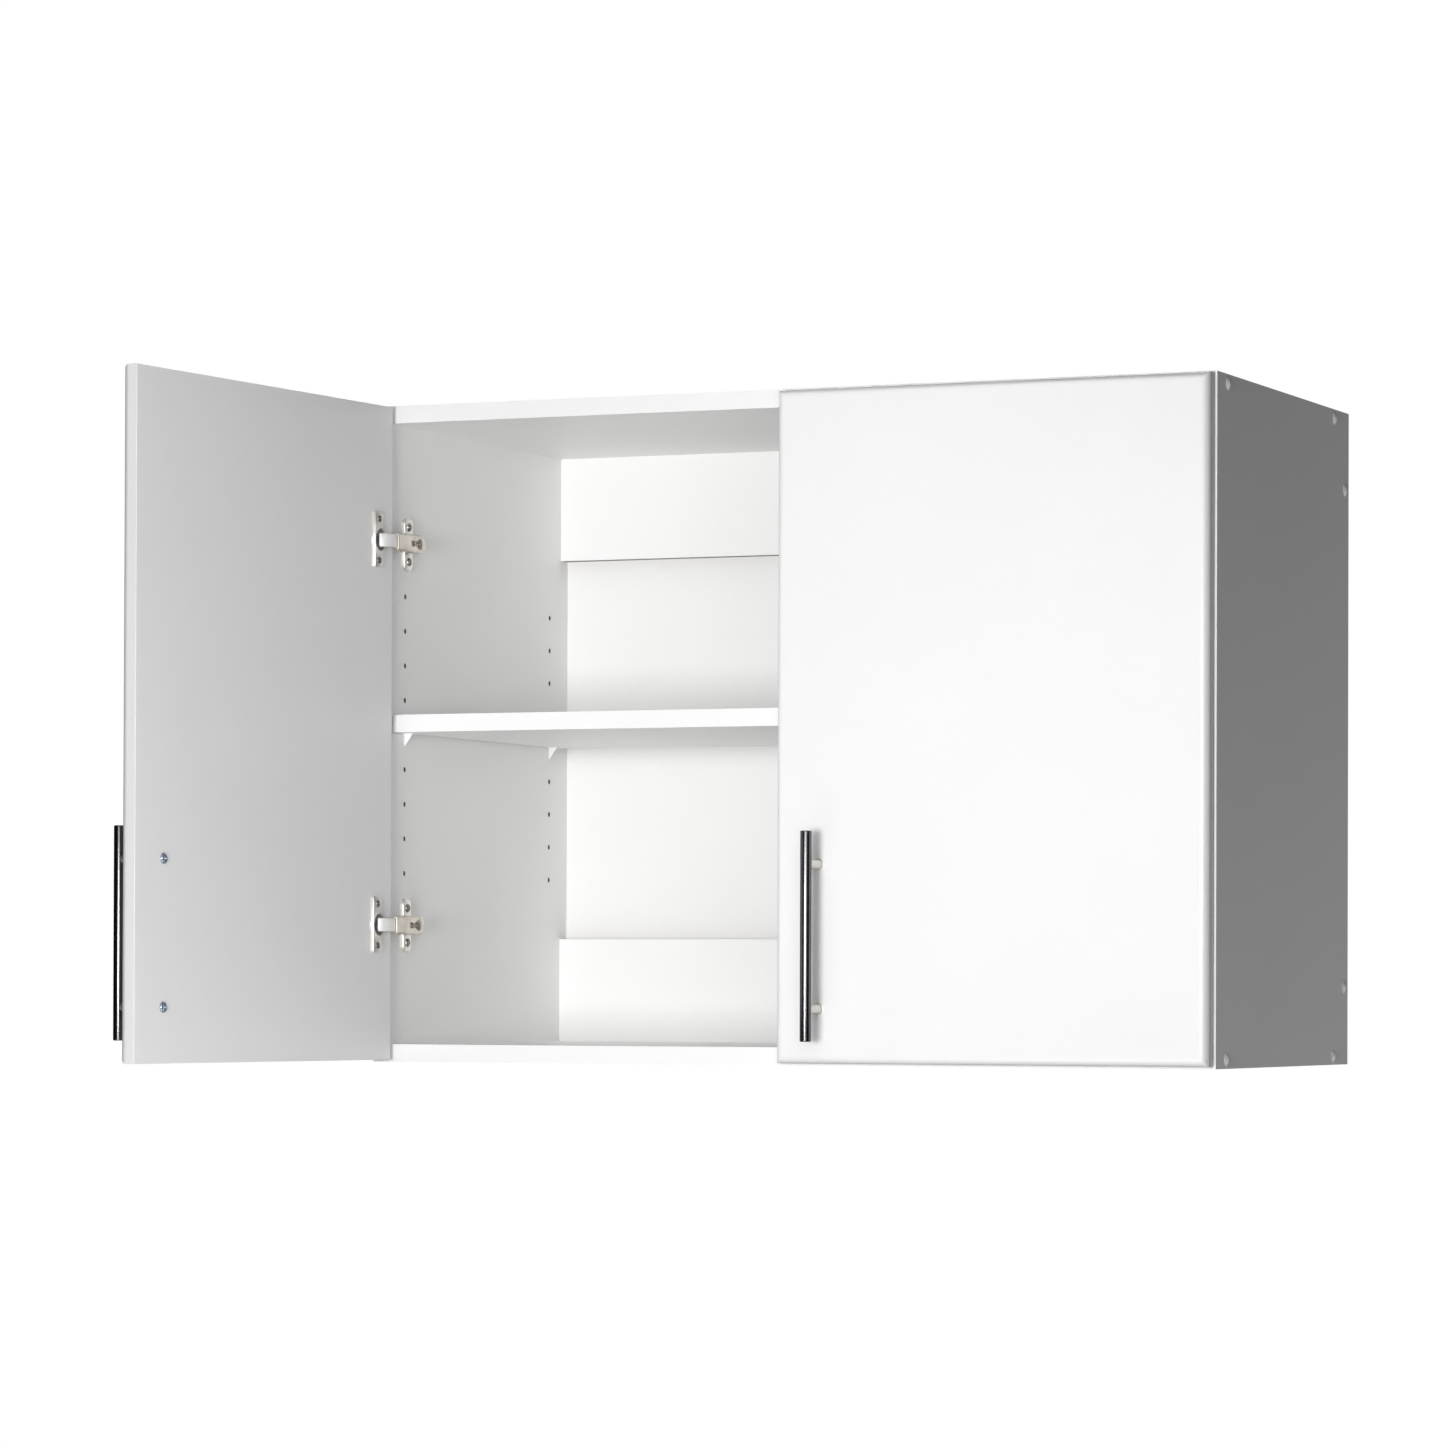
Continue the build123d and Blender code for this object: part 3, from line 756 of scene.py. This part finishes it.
@dataclass
class ShelfSupports:
    """Moulded supports: a flange with a rounded foot, a ledge, a web and the pin."""

    workshop: Workshop
    wall: float = 2.1 * MM
    soften: float = 0.35 * MM
    pin_r: float = 2.45 * MM
    pin_long: float = 8.0 * MM
    web_short: float = 1.2 * MM

    def support(self, low: Vector, high: Vector) -> Shape:
        """One right-hand support inside the CAD support's box.

        Args:
            low: the box's lowest corner.
            high: the box's highest corner.

        Returns:
            The support at its place.
        """
        face_x = high.x - self.pin_long
        mid_y, half = (low.y + high.y) / 2, (high.y - low.y) / 2
        tall, reach = high.z - low.z, face_x - low.x
        outline = [(-half, 0.0), (half, 0.0)] + arc((0, -(tall - half)), half, 0, -180, 16)
        flange = moved(prism(outline, self.wall, self.soften),
                       Matrix.Translation((face_x, mid_y, high.z)) @ looking("-X") @ quarter_turn())
        ledge = moved(soft_block(Vector((reach, 2 * half, self.wall)), self.soften),
                      Matrix.Translation((face_x - reach / 2, mid_y, high.z - self.wall / 2)))
        web_top = -self.wall / 2
        web_outline = [(0.0, web_top), (reach - self.web_short, web_top), (0.0, -(tall - half))]
        web = moved(prism(web_outline, self.wall),
                    Matrix.Translation((face_x, mid_y + self.wall / 2, high.z)) @ self._web_turn())
        pin = [(0, 0), (self.pin_r, 0), (self.pin_r, self.pin_long - self.soften),
               (self.pin_r - self.soften, self.pin_long), (0, self.pin_long)]
        stub = moved(lathe(pin, 24), Matrix.Translation((face_x, mid_y, 0)) @ looking("+X"))
        return joined([flange, ledge, web, stub])

    @staticmethod
    def _web_turn() -> Matrix:
        """Carry the outline's X to -X, its Y to Z and its thickness to -Y."""
        return Matrix(((-1, 0, 0, 0), (0, 0, -1, 0), (0, 1, 0, 0), (0, 0, 0, 1)))

    def build(self, hand: Hand, place: str) -> None:
        """Set one support under the shelf.

        Args:
            hand: which side it is on.
            place: "front" or "rear".
        """
        low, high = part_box(f"shelf_support_right_{place}")
        shape = moved(self.support(low, high), self.workshop.into_place(hand, Swing.FIXED))
        self.workshop.deliver(tidy_mesh(shape), f"support_{hand.value}_{place}", "carcass", Finish.PLASTIC,
                              [f"shelf_support_{hand.value}_{place}"])


# ---------------------------------------------------------------- doors

@dataclass
class DoorLeaf:
    """A door with softly rounded front edges and its bar handle."""

    workshop: Workshop
    hand: Hand
    bar_soft: float = 0.9 * MM
    post_foot_r: float = 4.6 * MM
    post_foot: float = 0.8 * MM
    neck_r: float = 1.0 * MM
    screw: CrossScrew = CrossScrew(4.8 * MM, 2.3 * MM, 2.0 * MM, 24 * MM)

    def build(self) -> None:
        """Make the leaf, then its handle and the handle's screws."""
        self._leaf()
        self._bar()
        self._posts()
        self._screws()

    def _place(self) -> Matrix:
        """Matrix to this door's place at rest."""
        return self.workshop.into_place(self.hand, Swing.DOOR)

    def _deliver(self, shape: Shape, name: str, finish: Finish,
                 node: str) -> bpy.types.Object:
        """Finish a piece of this door that stands for one CAD node."""
        return self.workshop.deliver(shape, f"{name}_{self.hand.value}", f"{self.hand.value}_door", finish,
                                     [f"{node}_{self.hand.value}"])

    def _leaf(self) -> None:
        """Give the CAD leaf merged vertices and smooth roundings."""
        shape = self.workshop.copy_node(f"door_{self.hand.value}")
        self.workshop.even_normals(self._deliver(shape, "door_leaf", Finish.DOOR, "door"))

    def _bar(self) -> None:
        """Turn the bar with eased ends."""
        low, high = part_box("handle_bar_right")
        radius, long = (high.x - low.x) / 2, high.z - low.z
        ease = self.bar_soft
        lower = arc((radius - ease, ease), ease, -90, 0, 5)
        upper = arc((radius - ease, long - ease), ease, 0, 90, 5)
        shape = lathe([(0, 0)] + lower + upper + [(0, long)], 64)
        centre = Matrix.Translation(((low.x + high.x) / 2, (low.y + high.y) / 2, low.z))
        self._deliver(moved(shape, self._place() @ centre), "bar", Finish.BRUSHED, "handle_bar")

    def _post_centres(self) -> tuple[list[Vector], float, float]:
        """Where the posts leave the door's face, their radius and how far they stand out."""
        low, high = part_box("handle_posts_right")
        bar_low, bar_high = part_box("handle_bar_right")
        radius = (high.x - low.x) / 2
        x = (low.x + high.x) / 2
        feet = [Vector((x, high.y, low.z + radius)), Vector((x, high.y, high.z - radius))]
        return feet, radius, high.y - (bar_low.y + bar_high.y) / 2

    def _posts(self) -> None:
        """Turn each post with a small foot, sunk into the bar."""
        feet, radius, stand = self._post_centres()
        neck = arc((radius + self.neck_r, 2 * self.neck_r), self.neck_r, 270, 180, 4)
        profile = [(0, 0), (self.post_foot_r, 0), (self.post_foot_r, self.post_foot)] + neck
        profile += [(radius, stand), (0, stand)]
        posts = [moved(lathe(profile, 40), Matrix.Translation(foot) @ looking("-Y")) for foot in feet]
        self._deliver(moved(joined(posts), self._place()), "posts", Finish.POST, "handle_posts")

    def _screws(self) -> None:
        """Screws through the leaf from its back into the posts."""
        feet, _, _ = self._post_centres()
        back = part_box("door_right")[1].y
        screws = [moved(self.screw.shape(), Matrix.Translation((foot.x, back, foot.z)) @ looking("+Y"))
                  for foot in feet]
        self._deliver(moved(joined(screws), self._place()), "bolts", Finish.ZINC, "handle_screws")


# ---------------------------------------------------------------- concealed hinges

@dataclass
class CupHinge:
    """A concealed hinge: cup and ears on the door, link, arm and mounting plate."""

    workshop: Workshop
    hand: Hand
    level: str
    cup_edge: float = 15.0 * MM
    ring_r: float = 13.6 * MM
    bowl_r: float = 12.95 * MM
    ring_high: float = 1.0 * MM
    mouth_r: float = 10.0 * MM
    wall_soft: float = 0.4 * MM
    ear_left: float = -11.3 * MM
    ear_right: float = 2.2 * MM
    ear_high: float = 3.0 * MM
    ear_soft: float = 0.5 * MM
    ear_corner: float = 5.0 * MM
    ear_small_corner: float = 1.5 * MM
    arm_metal: float = 1.4 * MM
    arm_soft: float = 1.6 * MM
    nose_half: float = 7.6 * MM
    main_half: float = 8.5 * MM
    tail_half: float = 6.2 * MM
    nose_cheek: float = 4.0 * MM
    nose_long: float = 14.0 * MM
    plate_thick: float = 3.5 * MM
    block_half: float = 4.8 * MM
    key_r: float = 4.9 * MM
    key_half: float = 2.4 * MM
    key_long: float = 15.0 * MM
    cup_floor: float = 0.6 * MM
    bowl_corner: float = 1.5 * MM
    nose_chamfer: float = 1.0 * MM
    nose_tip: float = 2.4 * MM
    shoulder: float = 3.0 * MM
    tail_taper: float = 7.0 * MM
    tail_tip: float = 1.5 * MM
    tail_ease: float = 0.6 * MM
    arm_edge: float = 0.25 * MM
    wing_half: float = 8.0 * MM
    wing_corner: float = 5.6 * MM
    wing_soft: float = 0.9 * MM
    block_sink: float = 1.0 * MM
    block_soft: float = 0.5 * MM
    link_soft: float = 0.3 * MM
    spring_coils: int = 9
    spring_half: float = 6.0 * MM
    spring_pin_r: float = 1.2 * MM
    spring_pin_end: float = 0.8 * MM
    coil_r: float = 1.4 * MM
    wire_r: float = 0.65 * MM
    spring_out: float = 6.2 * MM
    spring_down: float = 8.4 * MM

    def build(self) -> None:
        """Make every piece of the hinge."""
        self._cup()
        self._arm()
        self._plate()
        self._link()
        self._spring()

    def _node(self, part: str, hand: Hand | None = None) -> str:
        """Name of one of this hinge's CAD nodes."""
        return f"hinge_{part}_{(hand or self.hand).value}_{self.level}"

    def _box(self, part: str) -> tuple[Vector, Vector]:
        """Box of the right-hand CAD node of this level."""
        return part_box(self._node(part, Hand.RIGHT))

    def _deliver(self, shape: Shape, part: str, swing: Swing, finish: Finish,
                 stands_for: bool = True) -> bpy.types.Object:
        """Place and finish a part drawn for the right-hand closed hinge."""
        workshop = self.workshop
        shape = moved(shape, workshop.into_place(self.hand, swing))
        nodes = [self._node(part)] if stands_for else []
        return workshop.deliver(shape, f"{part}_{self.hand.value}_{self.level}",
                                workshop.body(self.hand, swing), finish, nodes)

    def _cup_centre(self) -> Vector:
        """Centre of the cup's mouth on the closed door's back face."""
        low, high = self._box("cup")
        return Vector((high.x - self.cup_edge, high.y - self.ear_high, (low.z + high.z) / 2))

    def _cup(self) -> None:
        """Turned cup with its ring, and the cast ears about its mouth."""
        low, high = self._box("cup")
        centre = self._cup_centre()
        deep, outer, soft = centre.y - low.y, self.bowl_r, self.wall_soft
        floor, corner = -(deep - self.cup_floor), self.bowl_corner
        profile = [(0, -deep), (outer - soft, -deep), (outer, -deep + soft), (outer, 0), (self.ring_r, 0),
                   (self.ring_r, self.ring_high - soft), (self.ring_r - soft, self.ring_high)]
        profile += arc((self.mouth_r + soft, self.ring_high - soft), soft, 90, 180, 3)
        profile += arc((self.mouth_r - corner, floor + corner), corner, 0, -90, 4) + [(0, floor)]
        bowl = lathe(profile, 72)
        shape = moved(joined([bowl, self._ear_plate()]), Matrix.Translation(centre) @ looking("+Y"))
        self._deliver(shape, "cup", Swing.DOOR, Finish.CASTING)

    def _ear_plate(self) -> Shape:
        """Both ears and the strip that joins them, about the cup's centre with X across the door."""
        low, high = self._box("cup")
        left, right, top = self.ear_left, self.ear_right, (high.z - low.z) / 2
        rim = self.mouth_r + self.wall_soft
        start = math.degrees(math.acos(right / rim))
        small, large = self.ear_small_corner, self.ear_corner
        outline = arc((0, 0), rim, start, 360 - start, 40)
        outline += arc((right - large, -top + large), large, 0, -90, 6)
        outline += arc((left + small, -top + small), small, 270, 180, 3)
        outline += arc((left + small, top - small), small, 180, 90, 3)
        outline += arc((right - large, top - large), large, 90, 0, 6)
        return prism(outline, self.ear_high, self.ear_soft)

    def _arm(self) -> None:
        """Pressed channel, drawn as sections along Y and given the metal's thickness."""
        low, high = self._box("arm")
        middle = (low.z + high.z) / 2
        top_x, cheek = low.x, high.x - low.x
        nose, tail = low.y, high.y
        nose_end, ease = nose + self.nose_long, self.tail_ease
        sections = [(nose, self.nose_half, self.nose_cheek - self.nose_chamfer),
                    (nose + self.nose_tip, self.nose_half, self.nose_cheek),
                    (nose_end, self.nose_half, self.nose_cheek),
                    (nose_end + self.shoulder, self.main_half, cheek),
                    (tail - self.tail_taper, self.main_half, cheek),
                    (tail - self.tail_tip, self.tail_half + ease, cheek),
                    (tail, self.tail_half - ease, cheek - self.tail_tip)]
        bm = bmesh.new()
        chains = [self._channel_section(bm, top_x, middle, *section) for section in sections]
        for first, second in zip(chains, chains[1:]):
            bmesh.ops.bridge_loops(bm, edges=first + second)
        self._cut_keyhole(bm, top_x, middle)
        bmesh.ops.recalc_face_normals(bm, faces=bm.faces[:])
        if sum(f.normal.x * f.calc_area() for f in bm.faces) > 0:
            bmesh.ops.reverse_faces(bm, faces=bm.faces[:])
        piece = self._deliver(bm, "arm", Swing.FIXED, Finish.NICKEL)
        sheet = piece.modifiers.new("metal", "SOLIDIFY")
        sheet.thickness, sheet.offset = self.arm_metal, -1.0
        eased = piece.modifiers.new("ease", "BEVEL")
        eased.width, eased.segments, eased.limit_method = self.arm_edge, 2, "ANGLE"

    def _cut_keyhole(self, bm: Shape, top_x: float, middle: float) -> None:
        """Open a keyhole about the fixing screw in the channel's longest flat face.

        Args:
            bm: the channel.
            top_x: X of its outer face.
            middle: Z of its middle.
        """
        low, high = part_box("plate_screws_right")
        screw_y = (low.y + high.y) / 2
        flat = max((f for f in bm.faces if all(abs(v.co.x - top_x) < 1e-6 for v in f.verts)),
                   key=lambda f: f.calc_area())
        border = flat.edges[:]
        bmesh.ops.delete(bm, geom=[flat], context="FACES_ONLY")
        turn = math.degrees(math.asin(self.key_half / self.key_r))
        outline = arc((screw_y, middle), self.key_r, turn - 180, 180 - turn, 28)
        outline += arc((screw_y - self.key_long + self.key_half, middle), self.key_half, 90, 270, 8)
        verts = [bm.verts.new((top_x, y, z)) for y, z in outline]
        rim = [bm.edges.new(pair) for pair in zip(verts, verts[1:] + verts[:1])]
        bmesh.ops.triangle_fill(bm, use_beauty=True, use_dissolve=False, edges=border + rim,
                                normal=(-1, 0, 0))

    def _channel_section(self, bm: Shape, top_x: float, middle: float, y: float, half: float,
                         cheek: float) -> list[bmesh.types.BMEdge]:
        """Add one open U of the channel.

        Args:
            bm: the mesh that it goes in.
            top_x: X of the channel's outer face.
            middle: Z of its middle.
            y: where the section stands.
            half: half its width.
            cheek: how deep its cheeks reach.

        Returns:
            The section's edges.
        """
        soft = self.arm_soft
        upper = [(soft - soft * math.sin(a), half - soft + soft * math.cos(a))
                 for a in [math.radians(22.5 * i) for i in range(5)]]
        outline = [(cheek, half)] + upper + [(x, -z) for x, z in reversed(upper)] + [(cheek, -half)]
        verts = [bm.verts.new((top_x + x, y, middle + z)) for x, z in outline]
        return [bm.edges.new(pair) for pair in zip(verts, verts[1:])]

    def _plate(self) -> None:
        """Wings against the side, and the rounded block that carries the arm."""
        low, high = self._box("plate")
        arm_low, _ = self._box("arm")
        middle = (low.z + high.z) / 2
        screws_low, screws_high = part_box("plate_screws_right")
        wings_at = Matrix.Translation((high.x, (screws_low.y + screws_high.y) / 2, middle))
        outline = rounded_outline(self.wing_half, (high.z - low.z) / 2, self.wing_corner)
        wings = moved(prism(outline, self.plate_thick, self.wing_soft),
                      wings_at @ looking("-X") @ quarter_turn())
        rise = high.x - self.plate_thick - (arm_low.x + self.arm_metal)
        block_size = Vector((rise + self.block_sink, high.y - low.y, 2 * self.block_half))
        block_at = (arm_low.x + self.arm_metal + block_size.x / 2, (low.y + high.y) / 2, middle)
        block = moved(soft_block(block_size, self.block_soft), Matrix.Translation(block_at))
        self._deliver(joined([wings, block]), "plate", Swing.FIXED, Finish.CASTING)

    def _link(self) -> None:
        """Curved link about the door's axis, its ends rounded over."""
        node = self.workshop.copy_node(self._node("link"))
        bmesh.ops.dissolve_limit(node, angle_limit=math.radians(2), verts=node.verts[:],
                                 edges=node.edges[:])
        sharp = [e for e in node.edges if len(e.link_faces) == 2 and e.calc_face_angle() > math.radians(50)]
        round_edges(node, sharp, self.link_soft, 2)
        self.workshop.deliver(node, f"link_{self.hand.value}_{self.level}",
                              self.workshop.body(self.hand, Swing.LINKS), Finish.LINK, [self._node("link")])

    def _spring(self) -> None:
        """Closing spring on its pin inside the cup, near the door's hinge edge."""
        half, pin = self.spring_half, self.spring_pin_r
        end = half + self.spring_pin_end
        profile: list[Point] = [(0, -end), (pin, -end), (pin, -half)]
        for i in range(self.spring_coils):
            middle = -half + (2 * i + 1) * half / self.spring_coils
            profile += arc((self.coil_r, middle), self.wire_r, -80, 80, 4)
        profile += [(pin, half), (pin, end), (0, end)]
        at = self._cup_centre() + Vector((self.spring_out, -self.spring_down, 0))
        self._deliver(moved(lathe(profile, 20), Matrix.Translation(at)), "spring", Swing.DOOR, Finish.ZINC,
                      stands_for=False)


@dataclass
class HingeScrews:
    """All cup, plate and arm screws of one side, from the CAD screws' places."""

    workshop: Workshop
    hand: Hand
    cup: CrossScrew = CrossScrew(3.2 * MM, 0.9 * MM, 1.5 * MM, 11 * MM)
    plate: CrossScrew = CrossScrew(3.9 * MM, 1.6 * MM, 2.4 * MM, 12 * MM)
    fixing: CrossScrew = CrossScrew(4.0 * MM, 1.9 * MM, 2.0 * MM, 9 * MM)
    adjuster: CrossScrew = CrossScrew(2.8 * MM, 0.85 * MM, 2.0 * MM, 9 * MM)
    ear_gap: float = 38.0 * MM
    wing_gap: float = 32.0 * MM
    wing_seat: float = 1.7 * MM

    def build(self) -> None:
        """Make the three groups."""
        ear_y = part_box("hinge_cup_right_upper")[1].y
        ear_x = (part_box("cup_screws_right")[0].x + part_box("cup_screws_right")[1].x) / 2
        levels = (self._level("upper"), self._level("lower"))
        ears = [(ear_x, ear_y, level + s * self.ear_gap / 2) for level in levels for s in (1, -1)]
        self._group("cup_screws", [(self.cup, at) for at in ears], "+Y", Swing.DOOR)
        plate_low, plate_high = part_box("plate_screws_right")
        wing_x = plate_low.x + self.wing_seat
        seat_y = (plate_low.y + plate_high.y) / 2
        wings = [(wing_x, seat_y, level + s * self.wing_gap / 2) for level in levels for s in (1, -1)]
        self._group("plate_screws", [(self.plate, at) for at in wings], "-X", Swing.FIXED)
        arm_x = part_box("hinge_arm_right_upper")[0].x
        adjust_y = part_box("arm_screws_right")[0].y + self.adjuster.head_r
        heads = [(screw, (x, y, level)) for level in levels
                 for screw, x, y in ((self.fixing, arm_x + CupHinge.arm_metal, seat_y),
                                     (self.adjuster, arm_x, adjust_y))]
        self._group("arm_screws", heads, "-X", Swing.FIXED)

    @staticmethod
    def _level(name: str) -> float:
        """Height of one level's hinge."""
        low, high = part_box(f"hinge_plate_right_{name}")
        return (low.z + high.z) / 2

    def _group(self, node: str, screws: Sequence[tuple[CrossScrew, tuple]], faces: str,
               swing: Swing) -> None:
        """Deliver one node's screws.

        Args:
            node: the CAD node's name without its side.
            screws: each screw and where its head is seated.
            faces: the direction that the heads face.
            swing: what the group turns with.
        """
        shapes = [moved(screw.shape(), Matrix.Translation(at) @ looking(faces)) for screw, at in screws]
        shape = moved(joined(shapes), self.workshop.into_place(self.hand, swing))
        self.workshop.deliver(shape, f"{node}_set_{self.hand.value}",
                              self.workshop.body(self.hand, swing), Finish.SCREW,
                              [f"{node}_{self.hand.value}"])


# ---------------------------------------------------------------- carcass

@dataclass
class Carcass:
    """Boards, bands, back and hidden fixings that keep their CAD shape."""

    workshop: Workshop

    def build(self) -> None:
        """Dress every CAD node that isn't replaced."""
        for name, node in sorted(self.workshop.packed["nodes"].items()):
            finish = self._finish_for(name)
            if finish is None:
                continue
            material = self.workshop.finishes.take(finish)
            if finish in (Finish.MELAMINE, Finish.BACK):
                value = finish.value
                material = replace(value, name=f"{value.name}_{name}", core=self._core(node)).make()
            node.data.materials.clear()
            node.data.materials.append(material)
            LOG.info("%-28s dressed in %s", name, finish.value.name)

    @staticmethod
    def _core(node: bpy.types.Object) -> Core:
        """Where a board's bare core lies, across its thinnest direction."""
        spans = [sorted(vert.co[axis] for vert in node.data.vertices) for axis in range(3)]
        axis = min(range(3), key=lambda i: spans[i][-1] - spans[i][0])
        low, high = spans[axis][0], spans[axis][-1]
        return Core(axis, (low + high) / 2, (high - low) / 2)

    @staticmethod
    def _finish_for(name: str) -> Finish | None:
        """The finish of a CAD node, or None where a new piece replaces it."""
        starts: tuple[tuple[str, Finish], ...] = (
            ("edge_band", Finish.EDGE), ("side_", Finish.MELAMINE), ("top_panel", Finish.MELAMINE),
            ("bottom_panel", Finish.MELAMINE), ("hanging_rail", Finish.MELAMINE),
            ("lower_rail", Finish.MELAMINE), ("back_panel", Finish.BACK), ("back_nails", Finish.ZINC),
            ("assembly_screws", Finish.ZINC), ("dowels", Finish.BEECH))
        if name == "shelf":
            return Finish.MELAMINE
        return next((finish for start, finish in starts if name.startswith(start)), None)


# ---------------------------------------------------------------- studio

@dataclass
class Camera:
    """The camera, low and to the right, with a long lens."""

    place: Vector = field(default_factory=lambda: Vector((1.9001, -4.9181, -0.233)))
    yaw: float = 0.4078
    pitch: float = -0.0115
    roll: float = 0.0034
    lens: float = 137.32
    shift_y: float = 0.14

    def build(self) -> None:
        """Make the camera and give it to the scene."""
        ahead = Vector((-math.sin(self.yaw) * math.cos(self.pitch),
                        math.cos(self.yaw) * math.cos(self.pitch), -math.sin(self.pitch)))
        right = Vector((math.cos(self.yaw), math.sin(self.yaw), 0))
        up = right.cross(ahead)
        tilted_right = math.cos(self.roll) * right + math.sin(self.roll) * up
        tilted_up = -math.sin(self.roll) * right + math.cos(self.roll) * up
        data = bpy.data.cameras.new("studio_camera")
        data.lens, data.sensor_width, data.shift_y = self.lens, 36.0, self.shift_y
        data.clip_start, data.clip_end = 0.05, 100.0
        camera = put_in_scene("studio_camera", data)
        axes = Matrix((tilted_right, tilted_up, -ahead)).transposed().to_4x4()
        camera.matrix_world = Matrix.Translation(self.place) @ axes
        bpy.context.scene.camera = camera


@dataclass(frozen=True)
class SoftBox:
    """One rectangular studio light that the camera doesn't see."""

    name: str
    place: tuple[float, float, float]
    aim: tuple[float, float, float]
    width: float
    height: float
    watts: float

    def build(self) -> None:
        """Make the light."""
        data = bpy.data.lights.new(self.name, "AREA")
        data.shape, data.size, data.size_y, data.energy = "RECTANGLE", self.width, self.height, self.watts
        light = put_in_scene(self.name, data)
        towards = Vector(self.aim) - Vector(self.place)
        turn = towards.to_track_quat("-Z", "Y").to_matrix().to_4x4()
        light.matrix_world = Matrix.Translation(self.place) @ turn
        light.visible_camera = False


@dataclass
class Studio:
    """Plain pale floor, white surround and soft lights in front, behind and inside."""

    workshop: Workshop
    floor_drop: float = 1.9
    floor_half: float = 3.0
    surround: float = 1.0
    ambient: float = 0.01
    lights: tuple[SoftBox, ...] = (
        SoftBox("front", (0.45, -5.0, -0.25), (0.0, -0.2, 0.0), 1.0, 1.0, 126.0),
        SoftBox("front_top", (0.5, -4.6, 1.8), (0.0, -0.2, 0.0), 0.8, 0.8, 2.0),
        SoftBox("rear", (2.6, 1.6, -1.0), (0.4, -0.2, 0.0), 2.0, 2.0, 20.5),
        SoftBox("back_wash", (-1.8, 3.4, 1.9), (0.0, -0.2, 0.0), 2.0, 2.0, 90.0),
        SoftBox("inside_fill", (0.34, -1.3, 0.0), (-0.45, -0.3, 0.0), 0.6, 0.8, 3.8),
        SoftBox("inside_up", (-0.05, -1.1, -0.75), (-0.2, -0.1, 0.25), 0.5, 0.5, 1.6),
        SoftBox("inside_down", (-0.05, -1.1, 0.75), (-0.2, -0.1, -0.25), 0.5, 0.5, 1.2),
    )

    def build(self) -> None:
        """Set up the floor, the surround, the lights and the camera."""
        self._floor()
        self._world()
        for light in self.lights:
            light.build()
        Camera().build()
        bpy.context.scene.view_settings.view_transform = "Standard"

    def _floor(self) -> None:
        """A large plain floor well below the hung cabinet."""
        bm = bmesh.new()
        bmesh.ops.create_grid(bm, x_segments=1, y_segments=1, size=self.floor_half)
        bmesh.ops.translate(bm, verts=bm.verts[:], vec=(0, 0, CAD_BOX[0].z - self.floor_drop))
        mesh = bpy.data.meshes.new("floor")
        bm.to_mesh(mesh)
        bm.free()
        mesh.materials.append(self.workshop.finishes.take(Finish.FLOOR))
        floor = put_in_scene("floor", mesh)

    def _world(self) -> None:
        """White to the eye and a dim even light on the cabinet."""
        world = bpy.data.worlds.new("white_surround")
        world.use_nodes = True
        tree = world.node_tree
        tree.nodes.clear()
        seen, lit = (tree.nodes.new("ShaderNodeBackground") for _ in range(2))
        for node, strength in ((seen, self.surround), (lit, self.ambient)):
            node.inputs["Color"].default_value = (1, 1, 1, 1)
            node.inputs["Strength"].default_value = strength
        path = tree.nodes.new("ShaderNodeLightPath")
        mix = tree.nodes.new("ShaderNodeMixShader")
        out = tree.nodes.new("ShaderNodeOutputWorld")
        tree.links.new(path.outputs["Is Camera Ray"], mix.inputs[0])
        tree.links.new(lit.outputs[0], mix.inputs[1])
        tree.links.new(seen.outputs[0], mix.inputs[2])
        tree.links.new(mix.outputs[0], out.inputs[0])
        bpy.context.scene.world = world


def main() -> None:
    """Build the cabinet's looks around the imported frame, then the studio."""
    workshop = Workshop(frame)
    Carcass(workshop).build()
    for hand in Hand:
        DoorLeaf(workshop, hand).build()
        CoverCaps(workshop).build(hand)
        HingeScrews(workshop, hand).build()
        for level in ("upper", "lower"):
            CupHinge(workshop, hand, level).build()
        for place in ("front", "rear"):
            ShelfSupports(workshop).build(hand, place)
    Studio(workshop).build()


if __name__ == "__main__":
    main()
